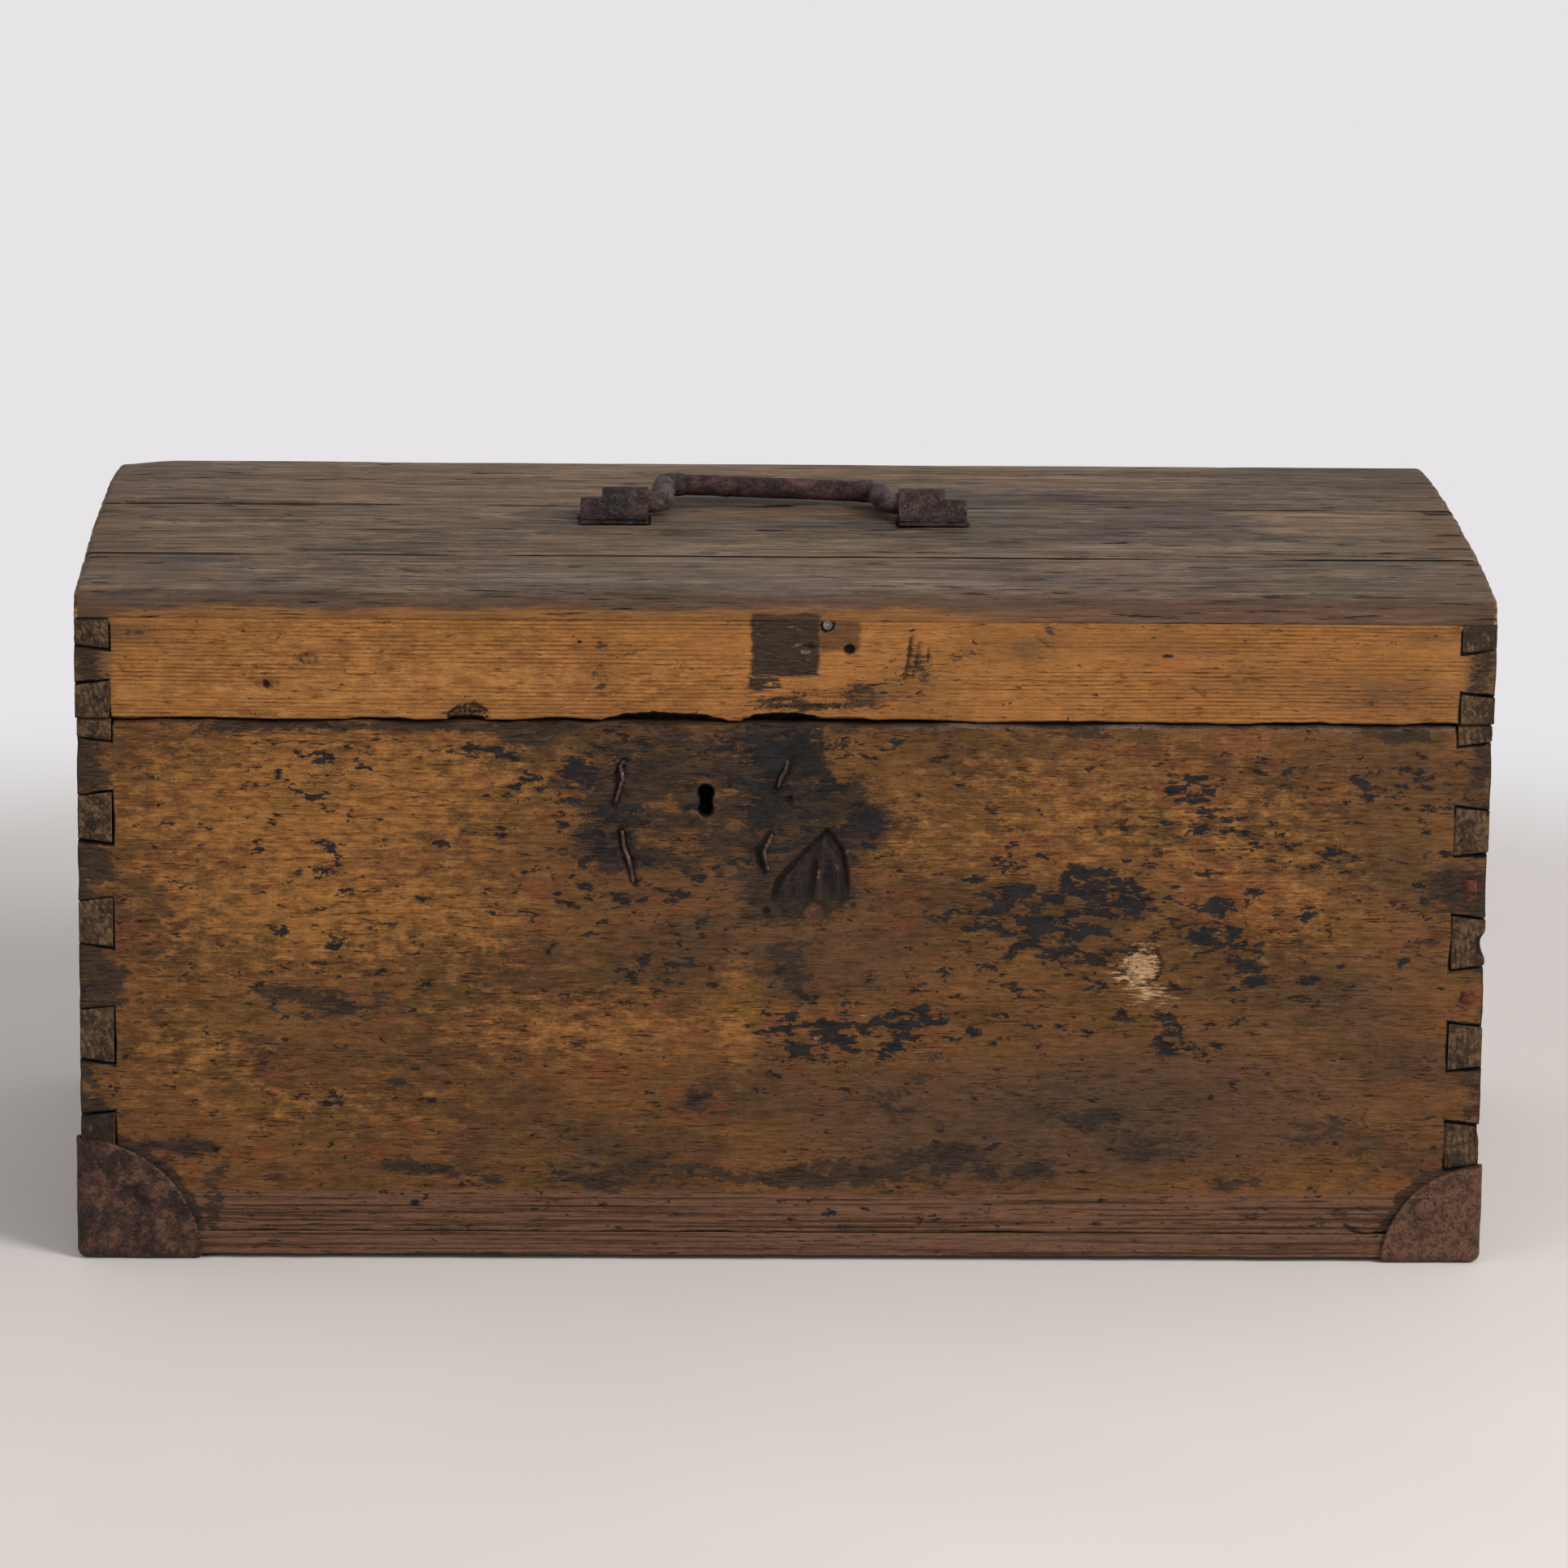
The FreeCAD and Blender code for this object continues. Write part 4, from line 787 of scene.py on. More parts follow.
lid_holes = [
    (30.9, 314.8, 2.3, 2.2), (9.3, 314.7, 2.6, 0.9), (-256.7, 295.5, 1.8, 2.2), (-311, 316, 1.6, 1.0),
    (-325, 320, 1.4, 1.0), (19.9, 327.0, 3.1, 1.0)]


def lid_front_hollow(points):
    """Straight stripes, small knots, old nails' holes and the groove between two of them."""
    sink = 0.35 * stripes(points, 0, 51, 2.6) + knots_and_holes(points, lid_knots, lid_holes)
    sink += cuts(wander(points, 2.0, 56), lid_cuts)
    sink += 0.9 * np.exp(-((points[:, 0] - 21) / 14) ** 4) * bell(points[:, 2], 315.6, 0.8)
    return np.clip(sink, 0, 3)


lid_dull_spots = [
    (118, 314, 18, 9, 0.5), (230, 300, 50, 14, 0.45), (306, 292, 44, 14, 0.55), (66, 302, 22, 14, 0.45),
    (-343, 305, 10, 40, 1.0), (-326, 322, 26, 8, 0.6), (-290, 312, 30, 10, 0.3), (345, 300, 9, 30, 1.0),
    (190, 318, 60, 6, 0.4), (-90, 306, 14, 16, 0.4), (320, 322, 36, 7, 0.5), (40, 292, 20, 8, 0.5)]
smudge_spots = [
    (-345, 312, 8, 14, 0.85), (-346, 292, 7, 14, 0.7), (346, 312, 7, 14, 0.7), (345, 290, 6, 10, 0.6),
    (-91, 300, 7, 14, 0.65), (-77, 316, 16, 4, 0.45), (38, 294, 13, 7, 0.75), (62, 311, 9, 12, 0.6),
    (68, 302, 5, 8, 0.5), (130, 325, 7, 8, 0.75), (132, 306, 6, 9, 0.5), (86, 312, 12, 5, 0.5),
    (-318, 322, 16, 5, 0.5), (-304, 300, 12, 16, 0.3), (342, 306, 7, 14, 0.6), (16, 286, 34, 3, 0.6),
    (-158, 282, 14, 4, 0.8), (-2, 288, 30, 5, 0.5), (-338, 300, 10, 22, 0.35), (200, 308, 22, 6, 0.35),
    (118, 312, 16, 4, 0.3), (240, 300, 22, 10, 0.3), (-60, 296, 30, 8, 0.25), (300, 288, 30, 5, 0.35),
    (170, 284, 30, 4, 0.35), (92, 300, 18, 12, 0.35)]
lid_chips = [
    (-60, 277.9, 31, 3, 3.6), (-1, 277.9, 21, 3, 4.0), (26, 277.9, 18, 3, 1.8), (-158, 277.9, 9, 3, 2.2),
    (66, 277.9, 28, 3, 1.0), (-112, 277.9, 22, 3, 1.0), (-200, 277.9, 16, 3, 0.8), (150, 277.9, 40, 3, 0.6),
    (250, 277.9, 20, 3, 0.8), (-300, 277.9, 20, 3, 0.5), (320, 277.9, 14, 3, 0.7)]
lid_paint_spots = [
    (-158, 282, 12, 4, 0.7), (16, 285, 30, 3, 0.7), (60, 306, 9, 16, 0.55), (38, 294, 12, 6, 0.4),
    (342, 304, 8, 16, 0.4)]
lid_marks = {
    "grime": by_spots(smudge_spots), "paint": by_spots(lid_paint_spots), "dull": by_spots(lid_dull_spots),
    "bare": by_spots([(10, 314, 5, 2, 0.9), (100, 298, 30, 8, 0.2)]),
    "knot": lambda p: eye(p, -236, 308.5, 5, 2.4) + eye(p, -256.7, 295.5, 5, 2.6),
    "sunny": by_spots([(-200, 300, 200, 40, 0.5), (220, 305, 160, 20, 0.15)])}
worn_slab("lid_front", "lid_front_board", (0, -1, 0), "lid", cell=(2.4, 0.8), seed=52,
          hollow=lid_front_hollow, marks=lid_marks, radius=0.6, wear=0.3, chips=lid_chips, quiet=326.0)
for name, node, outward, seed, cell, grain in (
        ("lid_left_end", "lid_left_end_board", (-1, 0, 0), 53, (3.4, 1.6), 1),
        ("lid_right_end", "lid_right_end_board", (1, 0, 0), 54, (3.4, 1.6), 1),
        ("lid_back", "lid_back_board", (0, 1, 0), 55, (5.0, 2.0), 0)):
    worn_slab(name, node, outward, "lid", cell=cell, seed=seed, wear=0.4,
              hollow=plain_hollow(grain, seed), marks=with_dirty_pins(worn_patches(seed)))

# %% [markdown]
# ## The planks of the lid
#
# The lid's top has had the worst of the weather. Its grain stands up like corduroy, its
# ends are rounded and bitten, and long cracks run in from them. Each plank is a cross
# section carried from end to end, with many points over the top and few below. It comes
# down in a quarter round near each end, where every point has its own length.
#
# The arch is written here as it is in the solid, and the heights printed show it.

# %% The lid's top
crack_table = [  # x from, x to, y, width, depth
    (-300, -190, 24, 2.6, 2.6), (-120, 30, 22, 2.2, 2.0), (90, 250, 40, 2.2, 1.8),
    (-40, 120, 120, 2.4, 1.6), (-260, -120, 96, 2.4, 1.6), (150, 300, 130, 2.4, 1.8),
    (-330, -250, 60, 2.4, 2.2), (-90, 60, -44, 2.0, 1.6), (-250, -90, -78, 2.0, 1.5),
    (60, 240, -28, 2.2, 1.6), (180, 330, -88, 2.0, 1.6), (-300, -180, -20, 2.0, 1.6),
    (-60, 90, -92, 1.8, 1.3), (220, 320, 4, 2.2, 1.8), (-200, -40, -132, 1.8, 1.2),
    (20, 160, -128, 1.8, 1.2), (-340, -260, -112, 1.8, 1.5), (240, 340, -140, 1.8, 1.5),
    (-342, -292, 22.5, 4.2, 5.0), (-334, -282, 35, 3.6, 5.0), (-350, -330, -2, 2.4, 3.0),
    (-351, -322, 92, 3.0, 3.5), (-351, -335, -60, 2.4, 3.0), (322, 352, -76, 3.4, 4.5),
    (330, 352, -44, 4.2, 5.0), (330, 352, 12, 3.6, 4.0), (318, 352, 60, 3.0, 3.5),
    (338, 352, -110, 3.0, 4.0), (336, 352, -132, 2.4, 3.5), (326, 352, 110, 4.0, 4.0),
    (-290, -180, 22, 2.4, 2.4), (-110, -60, -14, 2.6, 2.6), (-66, -30, -50, 2.2, 2.4),
    (304, 340, -62, 2.2, 2.4), (-351, -338, 128, 3.0, 4.0), (-150, -60, 17.5, 1.8, 2.6),
    (-240, -150, 34, 1.4, 2.0), (-60, 40, 47, 1.4, 1.6), (-70, 20, -14, 1.4, 1.8),
    (-130, -40, -54, 1.3, 1.5), (120, 260, 58, 1.3, 1.6), (80, 200, -70, 1.3, 1.3),
    (-270, -180, -118, 1.3, 1.5), (40, 56, -160, 2.6, 2.0), (196, 214, -158, 2.4, 1.8),
    (-262, -250, -156, 2.6, 2.0), (-116, -96, -159, 2.4, 1.8), (-344, -334, -160, 3.0, 2.4),
    (332, 342, -150, 3.0, 2.4), (-350, -326, 130, 2.0, 3.5), (-351, -340, 66, 1.8, 3.0)]


def plank_edges(node):
    """Where a solid plank begins and ends in y, and how low it reaches at either edge."""
    points, _ = solid_arrays(node)
    low_y, high_y = points[:, 1].min(), points[:, 1].max()
    return low_y, high_y, *(points[np.abs(points[:, 1] - y) < 0.01][:, 2].min() for y in (low_y, high_y))


warm_places = [  # x, y, half length, half width, strength
    (0, 6, 64, 20, 0.8), (-294, -150, 22, 9, 0.9), (-334, -100, 16, 60, 0.5), (336, -60, 16, 110, 0.7),
    (-60, 27, 70, 4, 0.7), (150, -94, 90, 5, 0.7), (-200, -94, 120, 4, 0.5), (210, 60, 60, 10, 0.4),
    (-120, 150, 90, 14, 0.4), (120, 140, 70, 16, 0.5)]
# Dirt and painted shadow at and between the straps: x, y, half length, half width, strength.
strap_dirt_and_shadow = [(-86, -8, 25, 17, 0.95), (78, -8, 25, 17, 0.95), (-3, -18, 60, 4, 0.4)]
lid_middle_y = -2.0


def arch_height(y):
    """The top of the planks: a round of large radius through the lid's middle."""
    depth, rise, thick, wall_top = 350.0, 6.0, 14.0, 328.5
    bow = ((depth / 2) ** 2 + rise ** 2) / (2 * rise)
    return wall_top + rise - bow + np.sqrt((bow + thick) ** 2 - (y - lid_middle_y) ** 2)


for node in ("lid_plank_front", "lid_plank_middle", "lid_plank_rear"):
    print(node, "from y %.1f to %.1f, foot %.1f and %.1f" % plank_edges(node))
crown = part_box("lid_plank_middle")[1][2] / MM
print("arch at the crown %.2f, the solid's %.2f" % (arch_height(lid_middle_y), crown))


# %% Build a plank
def weather_hollow(points, seed):
    """How far the top has weathered away: corduroy grain, soft dips and cracks."""
    x, y = points[:, 0], points[:, 1]
    sink = 0.55 * stripes(points, 0, seed, 2.4) ** 1.3
    sink += 0.5 * soft_step(rough(points, (50, 16, 16), seed + 7, 3), 0.55, 0.8)
    waver = 2.4 * (rough(np.column_stack((x, x * 0, x * 0)), (28, 1, 1), seed + 3, 3) - 0.5)
    for start, end, line, width, depth in crack_table:
        taper = 0.25 * (end - start)
        run = soft_step(x, start - 0.01, start + taper) * (1 - soft_step(x, end - taper, end + 0.01))
        if end > 350:
            run = soft_step(x, start, end - 8)
        if start < -349:
            run = 1 - soft_step(x, start + 8, end)
        sink += depth * run * np.clip(1 - np.abs(y - line - waver) / width, 0, 1)
    return sink


strap_feet = {side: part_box("handle_strap_" + side) for side in ("left", "right")}


def strap_shadow(points):
    """A dark line on the planks along the front and the ends of each strap."""
    dark = np.zeros(len(points))
    for low, high in strap_feet.values():
        x0, y0, x1, y1 = low[0] / MM, low[1] / MM, high[0] / MM, high[1] / MM
        dx = np.maximum(np.maximum(x0 - points[:, 0], points[:, 0] - x1), 0)
        dy = np.maximum(np.maximum(y0 - points[:, 1], points[:, 1] - y1), 0)
        dark = np.maximum(dark, np.exp(-(np.hypot(dx, dy) / 1.8) ** 2))
    return dark


end_rings = np.array([  # distances of the closest sections from a plank's end
    0, 0.15, 0.45, 0.9, 1.5, 2.3, 3.3, 4.6, 6.0, 7.6, 9.4, 11.4, 13.8, 16.4, 19.4, 23, 27, 31.5, 36.5, 42])
nosing = 8.0
half_plank = 351.3


def plank_section(edges, nosing_near, nosing_far):
    """A plank's cross section as points (y, z), closed: up its near side, over its top,
    down its far side and back below. A nosing is a quarter round, r - sqrt(r^2 - d^2).
    It also gives which points are on the top and which are below."""
    low_y, high_y, foot_near, foot_far = edges
    fine = np.arange(low_y + 0.5, high_y - 0.4, 0.75)
    top_y = np.concatenate(([low_y + 0.12], fine, [high_y - 0.12]))
    top_z = arch_height(top_y)
    for nosed, edge in ((nosing_near, low_y), (nosing_far, high_y)):
        if nosed:
            inward = np.clip(nosing - np.abs(top_y - edge), 0, nosing)
            top_z -= nosing - np.sqrt(np.maximum(nosing ** 2 - inward ** 2, 0))
        else:
            top_z -= 1.3 * np.exp(-np.abs(top_y - edge) / 1.1)
    sides = 7
    up_z = np.linspace(foot_near + 0.05, top_z[0] - 0.3, sides)
    down_z = np.linspace(top_z[-1] - 0.3, foot_far + 0.4, sides)
    below = np.linspace(high_y - 0.4, low_y + 0.4, 24)
    below_z = foot_far + (foot_near - foot_far) * (high_y - below) / (high_y - low_y)
    y = np.concatenate((np.full(sides, low_y + 0.05), top_y, np.full(sides, high_y - 0.05), below))
    number = np.arange(len(y))
    over = (number >= 2) & (number < len(top_y) + 2 * sides - 2)
    return y, np.concatenate((up_z, top_z, down_z, below_z)), over, number >= 2 * sides + len(top_y)


# %% Carry it along
def ragged_ends(t, y, z, lifted, seed):
    """The section's points at each station t, from -1 to 1. A point's x is t * its own
    half length, and near the ends its z comes down by a quarter round."""
    flat = np.column_stack((np.sign(t.ravel()) * 50, y.ravel(), z.ravel()))
    bitten = soft_step(rough(flat, (30, 5, 9), seed + 60, 3), 0.3, 0.9)
    waved = soft_step(hills(flat / np.array((30, 26, 90.0)), seed + 66), 0.5, 1)
    shorter = (0.9 * bitten + 0.4 * waved) * (0.35 + 0.65 * lifted.ravel())
    x = t * (half_plank - shorter.reshape(t.shape))
    round_end = 4.2 + 1.0 * (rough(flat, (30, 22, 22), seed + 70, 2).reshape(t.shape) - 0.5)
    within = np.clip(round_end - (1 - np.abs(t)) * half_plank, 0, None)
    z = z - (round_end - np.sqrt(np.maximum(round_end ** 2 - within ** 2, 0))) * lifted
    z -= 2.4 * soft_step(-x, 318, 352) * soft_step(y, 110, 173) * lifted
    return np.column_stack((x.ravel(), y.ravel(), z.ravel()))


def plank_marks(points, low_y, high_y, nosing_near, nosing_far, over, sinking, seed):
    """Numbers for the finish: gap, dark in the seams and painted shade in the cracks and beside
    the straps; an orange line beside a seam, partly worn wood and partly painted highlight;
    rim and end at the plank's ends; and soft patches, with dirt and painted shadow at the straps."""
    x, y = points[:, 0], points[:, 1]
    far_off = np.full(len(points), 99.0)
    seam_near = far_off if nosing_near else y - low_y
    seam_far = far_off if nosing_far else high_y - y
    open_share = 0.5 + 0.5 * soft_step(rough(points, (50, 30, 30), seed + 81, 2), 0.3, 0.6)
    seam = np.exp(-(np.minimum(seam_near, seam_far) / 1.7) ** 4) * open_share
    # Painted shade: cracks deeper than about two millimetres are marked black.
    crack_shade = soft_step(sinking, 1.5, 2.6) * 0.9
    # An orange line on the plank's edge just behind a seam: partly fresh worn wood and partly a painted highlight.
    worn_edge_highlight = bell(seam_near, 3.6, 1.2) * soft_step(rough(points, (45, 30, 30), seed + 80, 3), 0.35, 0.6)
    dirt = soft_step(rough(points, (120, 26, 40), seed, 3), 0.45, 0.7) * 0.5
    values = {mark: field(points) for mark, field in worn_patches(seed).items()}
    values.update({
        "gap": np.maximum.reduce([seam, strap_shadow(points) * over, crack_shade]), "hollow": sinking,
        "worn_edge_highlight": worn_edge_highlight * (0.3 if nosing_near or nosing_far else 1.0), "paint": np.zeros(len(points)),
        "rim": soft_step(np.abs(x), 338, 352) * 0.75, "end": soft_step(np.abs(x), 348.2, 350.5),
        "grime": np.maximum(dirt, spots(x, y, strap_dirt_and_shadow)), "warm": spots(x, y, warm_places)})
    return values


def weathered_plank(name, node, nosing_near, nosing_far, seed):
    """One plank of the lid, with its top weathered and its outer side grained."""
    low_y, high_y, foot_near, _ = edges = plank_edges(node)
    section_y, section_z, over, below = plank_section(edges, nosing_near, nosing_far)
    stations = np.concatenate((end_rings - half_plank, np.linspace(-305, 305, 180),
                               half_plank - end_rings[::-1])) / half_plank
    t, y = np.meshgrid(stations, section_y, indexing="ij")
    lifted = np.broadcast_to(np.clip((section_z - (foot_near + 1)) / 8, 0, 1), t.shape)
    points = ragged_ends(t, y, np.broadcast_to(section_z, t.shape), lifted, seed)
    over, below = np.tile(over, len(t)), np.tile(below, len(t)).astype(float)
    sinking = weather_hollow(points, seed) * over * np.clip(lifted.ravel() * 1.4, 0, 1)
    side_wear = 0.25 * stripes(points, 0, seed + 2, 2.0)
    outer_side = np.zeros(len(points))
    if nosing_near:
        outer_side = np.where(points[:, 1] < low_y + 1, side_wear, 0)
    if nosing_far:
        outer_side = np.where(points[:, 1] > high_y - 1, -side_wear, outer_side)
    points[:, 2] -= sinking * np.where(np.abs(outer_side) > 0, 0.3, 1)
    points[:, 1] += outer_side
    values = plank_marks(points, low_y, high_y, nosing_near, nosing_far, over, sinking, seed)
    values["depth"] = below
    faces = [face[::-1] for face in closed_tube(t.shape)]
    piece(name, points, faces, "lid", (node,), values)


weathered_plank("lid_top_front", "lid_plank_front", True, False, 71)
weathered_plank("lid_top_middle", "lid_plank_middle", False, False, 72)
weathered_plank("lid_top_rear", "lid_plank_rear", False, True, 73)

# %% [markdown]
# ## The bail
#
# The handle is a round bar, forged by hand. Its feet turn out into the straps, its legs
# thicken towards the elbows, and the grip is slimmer. It is a circle carried along
# straights and quarter turns. The hammer leaves the bar flat in places and lumpy at the
# elbows, so the radius changes along the bar and round it.


# %% Bend a bar
swing = next(joint for joint in frame["joints"] if joint["name"] == "handle_swing")
bail_x, bail_y, bail_z = (round(value / MM, 3) for value in swing["pos_m"])


def bar_line():
    """The bail's centre line and radius, from one foot to the other: a foot, a quarter
    turn, a leg that thickens, a quarter turn and half the grip, and the same mirrored."""
    leg_x, bend, elbow, reach = 56.2, 7.4, 8.5, 40.0
    foot, leg_end, grip = 5.7, 6.4, 5.5
    turns = np.linspace(0, math.pi / 2, 9)[1:]
    legs = np.linspace(9.5, 31.5, 9)
    stretches = (  # x, y, radius
        (np.array((83.6, 76, 69, 63.6)), 0, foot),
        (leg_x + bend - bend * np.sin(turns), bend - bend * np.cos(turns), foot),
        (leg_x, legs, foot + (leg_end - foot) * (legs - bend) / 24.1),
        (leg_x - elbow + elbow * np.cos(turns), 31.5 + elbow * np.sin(turns), leg_end),
        (np.array((46.2, 44.7, 43.0)), reach, np.array((6.1, 5.6, grip))),
        (np.linspace(40, 0, 18), reach, grip))
    half = np.concatenate([np.column_stack(np.broadcast_arrays(*stretch)) for stretch in stretches])
    whole = np.concatenate((half, half[-2::-1] * (-1, 1, 1)))
    lift = math.radians(2.4)
    line = np.column_stack((bail_x + whole[:, 0], bail_y + whole[:, 1] * math.cos(lift),
                            bail_z + whole[:, 1] * math.sin(lift)))
    return line, whole[:, 2]


def carried_round(line, radius, around=40):
    """A circle carried along a line: the rim's directions are the upright, less its
    part along the line, and the cross product of that with the line."""
    along = np.gradient(line, axis=0)
    along /= np.linalg.norm(along, axis=1)[:, None]
    upright = np.array((0, -0.04, 1.0))
    up = upright - along * (along @ upright)[:, None]
    up /= np.linalg.norm(up, axis=1)[:, None]
    side = np.cross(along, up)
    turn = np.linspace(0, 2 * math.pi, around, endpoint=False)
    rim = np.cos(turn)[None, :, None] * up[:, None] + np.sin(turn)[None, :, None] * side[:, None]
    return line[:, None] + rim * radius[:, None, None], rim


# %% Forge the bail
line, bar_radius = bar_line()
spread = np.linspace(0, len(line) - 1, 340)
line = np.column_stack([np.interp(spread, np.arange(len(line)), line[:, k]) for k in range(3)])
bar_radius = np.interp(spread, np.arange(len(bar_radius)), bar_radius)
aside = line[:, 0] - bail_x
reach_out = soft_step(line[:, 1] - bail_y, 4, 34)
line[:, 1] -= reach_out * (1.2 + 3.6 * aside / 50)
line[:, 2] -= reach_out * (1.2 + 1.0 * aside / 50)
rims, rim = carried_round(line, bar_radius)
flat_rims, grid_shape = rims.reshape(-1, 3), rims.shape[:2]
lump = rough(flat_rims, (7, 7, 7), 81, 3).reshape(grid_shape)
fine_pits = rough(flat_rims, (2, 2, 2), 83, 2).reshape(grid_shape)
in_elbow = np.broadcast_to(1 - soft_step(np.abs(np.abs(aside) - 54.5), 4, 12)[:, None], grid_shape)
worn_off = (0.12 + 0.63 * in_elbow) * soft_step(lump, 0.2, 0.85) + 0.12 * fine_pits
inside_strap = (np.abs(aside) > 64)[:, None]
bail_points = rims - rim * np.where(inside_strap, 0.05, worn_off)[..., None]
piece("bail_forged", bail_points.reshape(-1, 3), closed_tube(grid_shape), "handle", ("handle_bail",),
      {"hollow": worn_off.ravel(), "elbow": in_elbow.ravel()})

# %% [markdown]
# ## Iron with dents and soft edges
#
# The sheet iron of the corners, straps and hinges comes from the solid model with edges
# as sharp as the drawing. Real sheet has been knocked and filed by use. Its triangles
# are divided until they are small, then every point moves part of the way to the middle
# of its neighbours. On a flat face nothing changes, but an edge turns round. Low hills
# sink into the faces after that.


# %% Divide a solid's triangles
def turned(rows, shift):
    """Each row of three numbers turned round by its own shift."""
    return np.take_along_axis(rows, (np.arange(3) + shift[:, None]) % 3, 1)


def divided_triangles(points, triangles, longest):
    """Triangles cut until no edge is longer than a limit.

    Each round puts a point in the middle of every long edge. A triangle with one, two
    or three of those points becomes two, three or four triangles."""
    while True:
        ends = np.sort(np.stack((triangles, np.roll(triangles, -1, 1)), 2), axis=2)
        edges, which = np.unique(ends.reshape(-1, 2), axis=0, return_inverse=True)
        too_long = np.linalg.norm(points[edges[:, 0]] - points[edges[:, 1]], axis=1) > longest
        if not too_long.any():
            return points, triangles
        middle = np.full(len(edges), -1)
        middle[too_long] = len(points) + np.arange(too_long.sum())
        points = np.concatenate((points, points[edges[too_long]].mean(1)))
        middle = middle[which.reshape(-1, 3)]
        cut = (middle >= 0).sum(1)
        first = (middle >= 0).argmax(1)
        uncut = (middle < 0).argmax(1) + 1
        parts = [triangles[cut == 0]]
        a, b, c = turned(triangles[cut == 1], first[cut == 1]).T
        d = turned(middle[cut == 1], first[cut == 1])[:, 0]
        parts += [np.stack(corners, 1) for corners in ((a, d, c), (d, b, c))]
        a, b, c = turned(triangles[cut == 2], uncut[cut == 2]).T
        d, e, _ = turned(middle[cut == 2], uncut[cut == 2]).T
        parts += [np.stack(corners, 1) for corners in ((d, b, e), (a, d, e), (a, e, c))]
        (a, b, c), (d, e, f) = triangles[cut == 3].T, middle[cut == 3].T
        parts += [np.stack(corners, 1) for corners in ((a, d, f), (d, b, e), (f, e, c), (d, e, f))]
        triangles = np.concatenate(parts)


# %% Dent a solid
def dented(name, node, body, longest, dent, seed, rings=()):
    """A solid with its sharp edges softened and its faces dented.

    Softening: p + 0.5 * (mean of neighbours - p), three times. Dents: p - n * dent *
    hills. rings are places (x, y, z, radius) darkened in a thin ring round a nail; a
    radius of 0 gives a dark spot, and a row of them paints the shade of a torn hole."""
    points, triangles = solid_arrays(node)
    sharp, triangles = divided_triangles(points.astype(float), triangles, longest)
    a, b, c = (triangles[:, k] for k in range(3))
    normals = np.zeros_like(sharp)
    facing = np.cross(sharp[b] - sharp[a], sharp[c] - sharp[a])
    for corner in (a, b, c):
        np.add.at(normals, corner, facing)
    normals /= np.maximum(np.linalg.norm(normals, axis=1), 1e-9)[:, None]
    one, other = np.concatenate((a, b, c)), np.concatenate((b, c, a))
    count = np.bincount(np.append(one, other), minlength=len(sharp))[:, None]
    soft = sharp.copy()
    for _ in range(3):
        total = np.zeros_like(soft)
        np.add.at(total, one, soft[other])
        np.add.at(total, other, soft[one])
        soft += 0.5 * (total / count - soft)
    inward = np.sum((soft - sharp) * normals, axis=1)
    soft = sharp + normals * np.minimum(inward, 0)[:, None]
    hill = rough(sharp, (14, 14, 14), seed, 3)
    soft -= normals * (dent * soft_step(hill, 0.25, 0.8))[:, None]
    dirt = soft_step(hill, 0.5, 0.85) * 0.5
    # Dark rings round nails; a ring of radius 0 is a dark spot, painted shade for a torn hole.
    for x, y, z, radius in rings:
        away = np.linalg.norm(sharp - (x, y, z), axis=1)
        dirt = np.maximum(dirt, np.exp(-((away - radius) / 0.9) ** 2))
    values = {"hollow": dirt, "edge_wear": np.clip(-inward / 0.22, 0, 1)}
    piece(name, soft, triangles.tolist(), body, (node,), values)


nail_rings = {"front_left": [(-318.1, -179.7, 35.1, 5.4)], "front_right": [(323.1, -179.7, 28.7, 5.4)]}
for seed, corner in enumerate(("front_left", "front_right", "rear_left", "rear_right"), 91):
    dented("corner_" + corner, "corner_cap_" + corner, "carcass", 2.2, 0.35, seed,
           nail_rings.get(corner, ()))
# Painted shade: rows of dark spots on the straps stand for torn holes.
torn_hole_shade_spots = {
    "left": [(x, -9.0 + 0.2 * abs(x + 88), 351.0, 0.0) for x in (-93, -91.5, -90, -88.5, -87, -85.5)],
    "right": [(x, -12.5, 351.0, 0.0) for x in (76, 77.5, 79, 80.5, 82)]}
for k, side in enumerate(("left", "right")):
    dented("strap_" + side, "handle_strap_" + side, "lid", 0.9, 0.3, 96 + k, torn_hole_shade_spots[side])
    dented("hinge_body_" + side, "hinge_body_leaf_" + side, "carcass", 2.2, 0.2, 98 + k)
    dented("hinge_lid_" + side, "hinge_lid_leaf_" + side, "lid", 2.2, 0.2, 100 + k)
dented("lock_plate_worn", "lock_plate", "carcass", 2.2, 0.2, 103)
dented("lock_case_worn", "lock_case", "carcass", 2.0, 0.2, 104)

# %% [markdown]
# ## Nails that show in the front
#
# Four nails come through from the lock. Their points were bent over with a hammer and
# lie in the wood like thin twisted slivers. The solid model bends them square. Here that
# bent end is sunk into the wood, and a tapered bar along a crooked line lies over it.
# The nails of the lid's planks are sunk a little too, level with the worn wood.


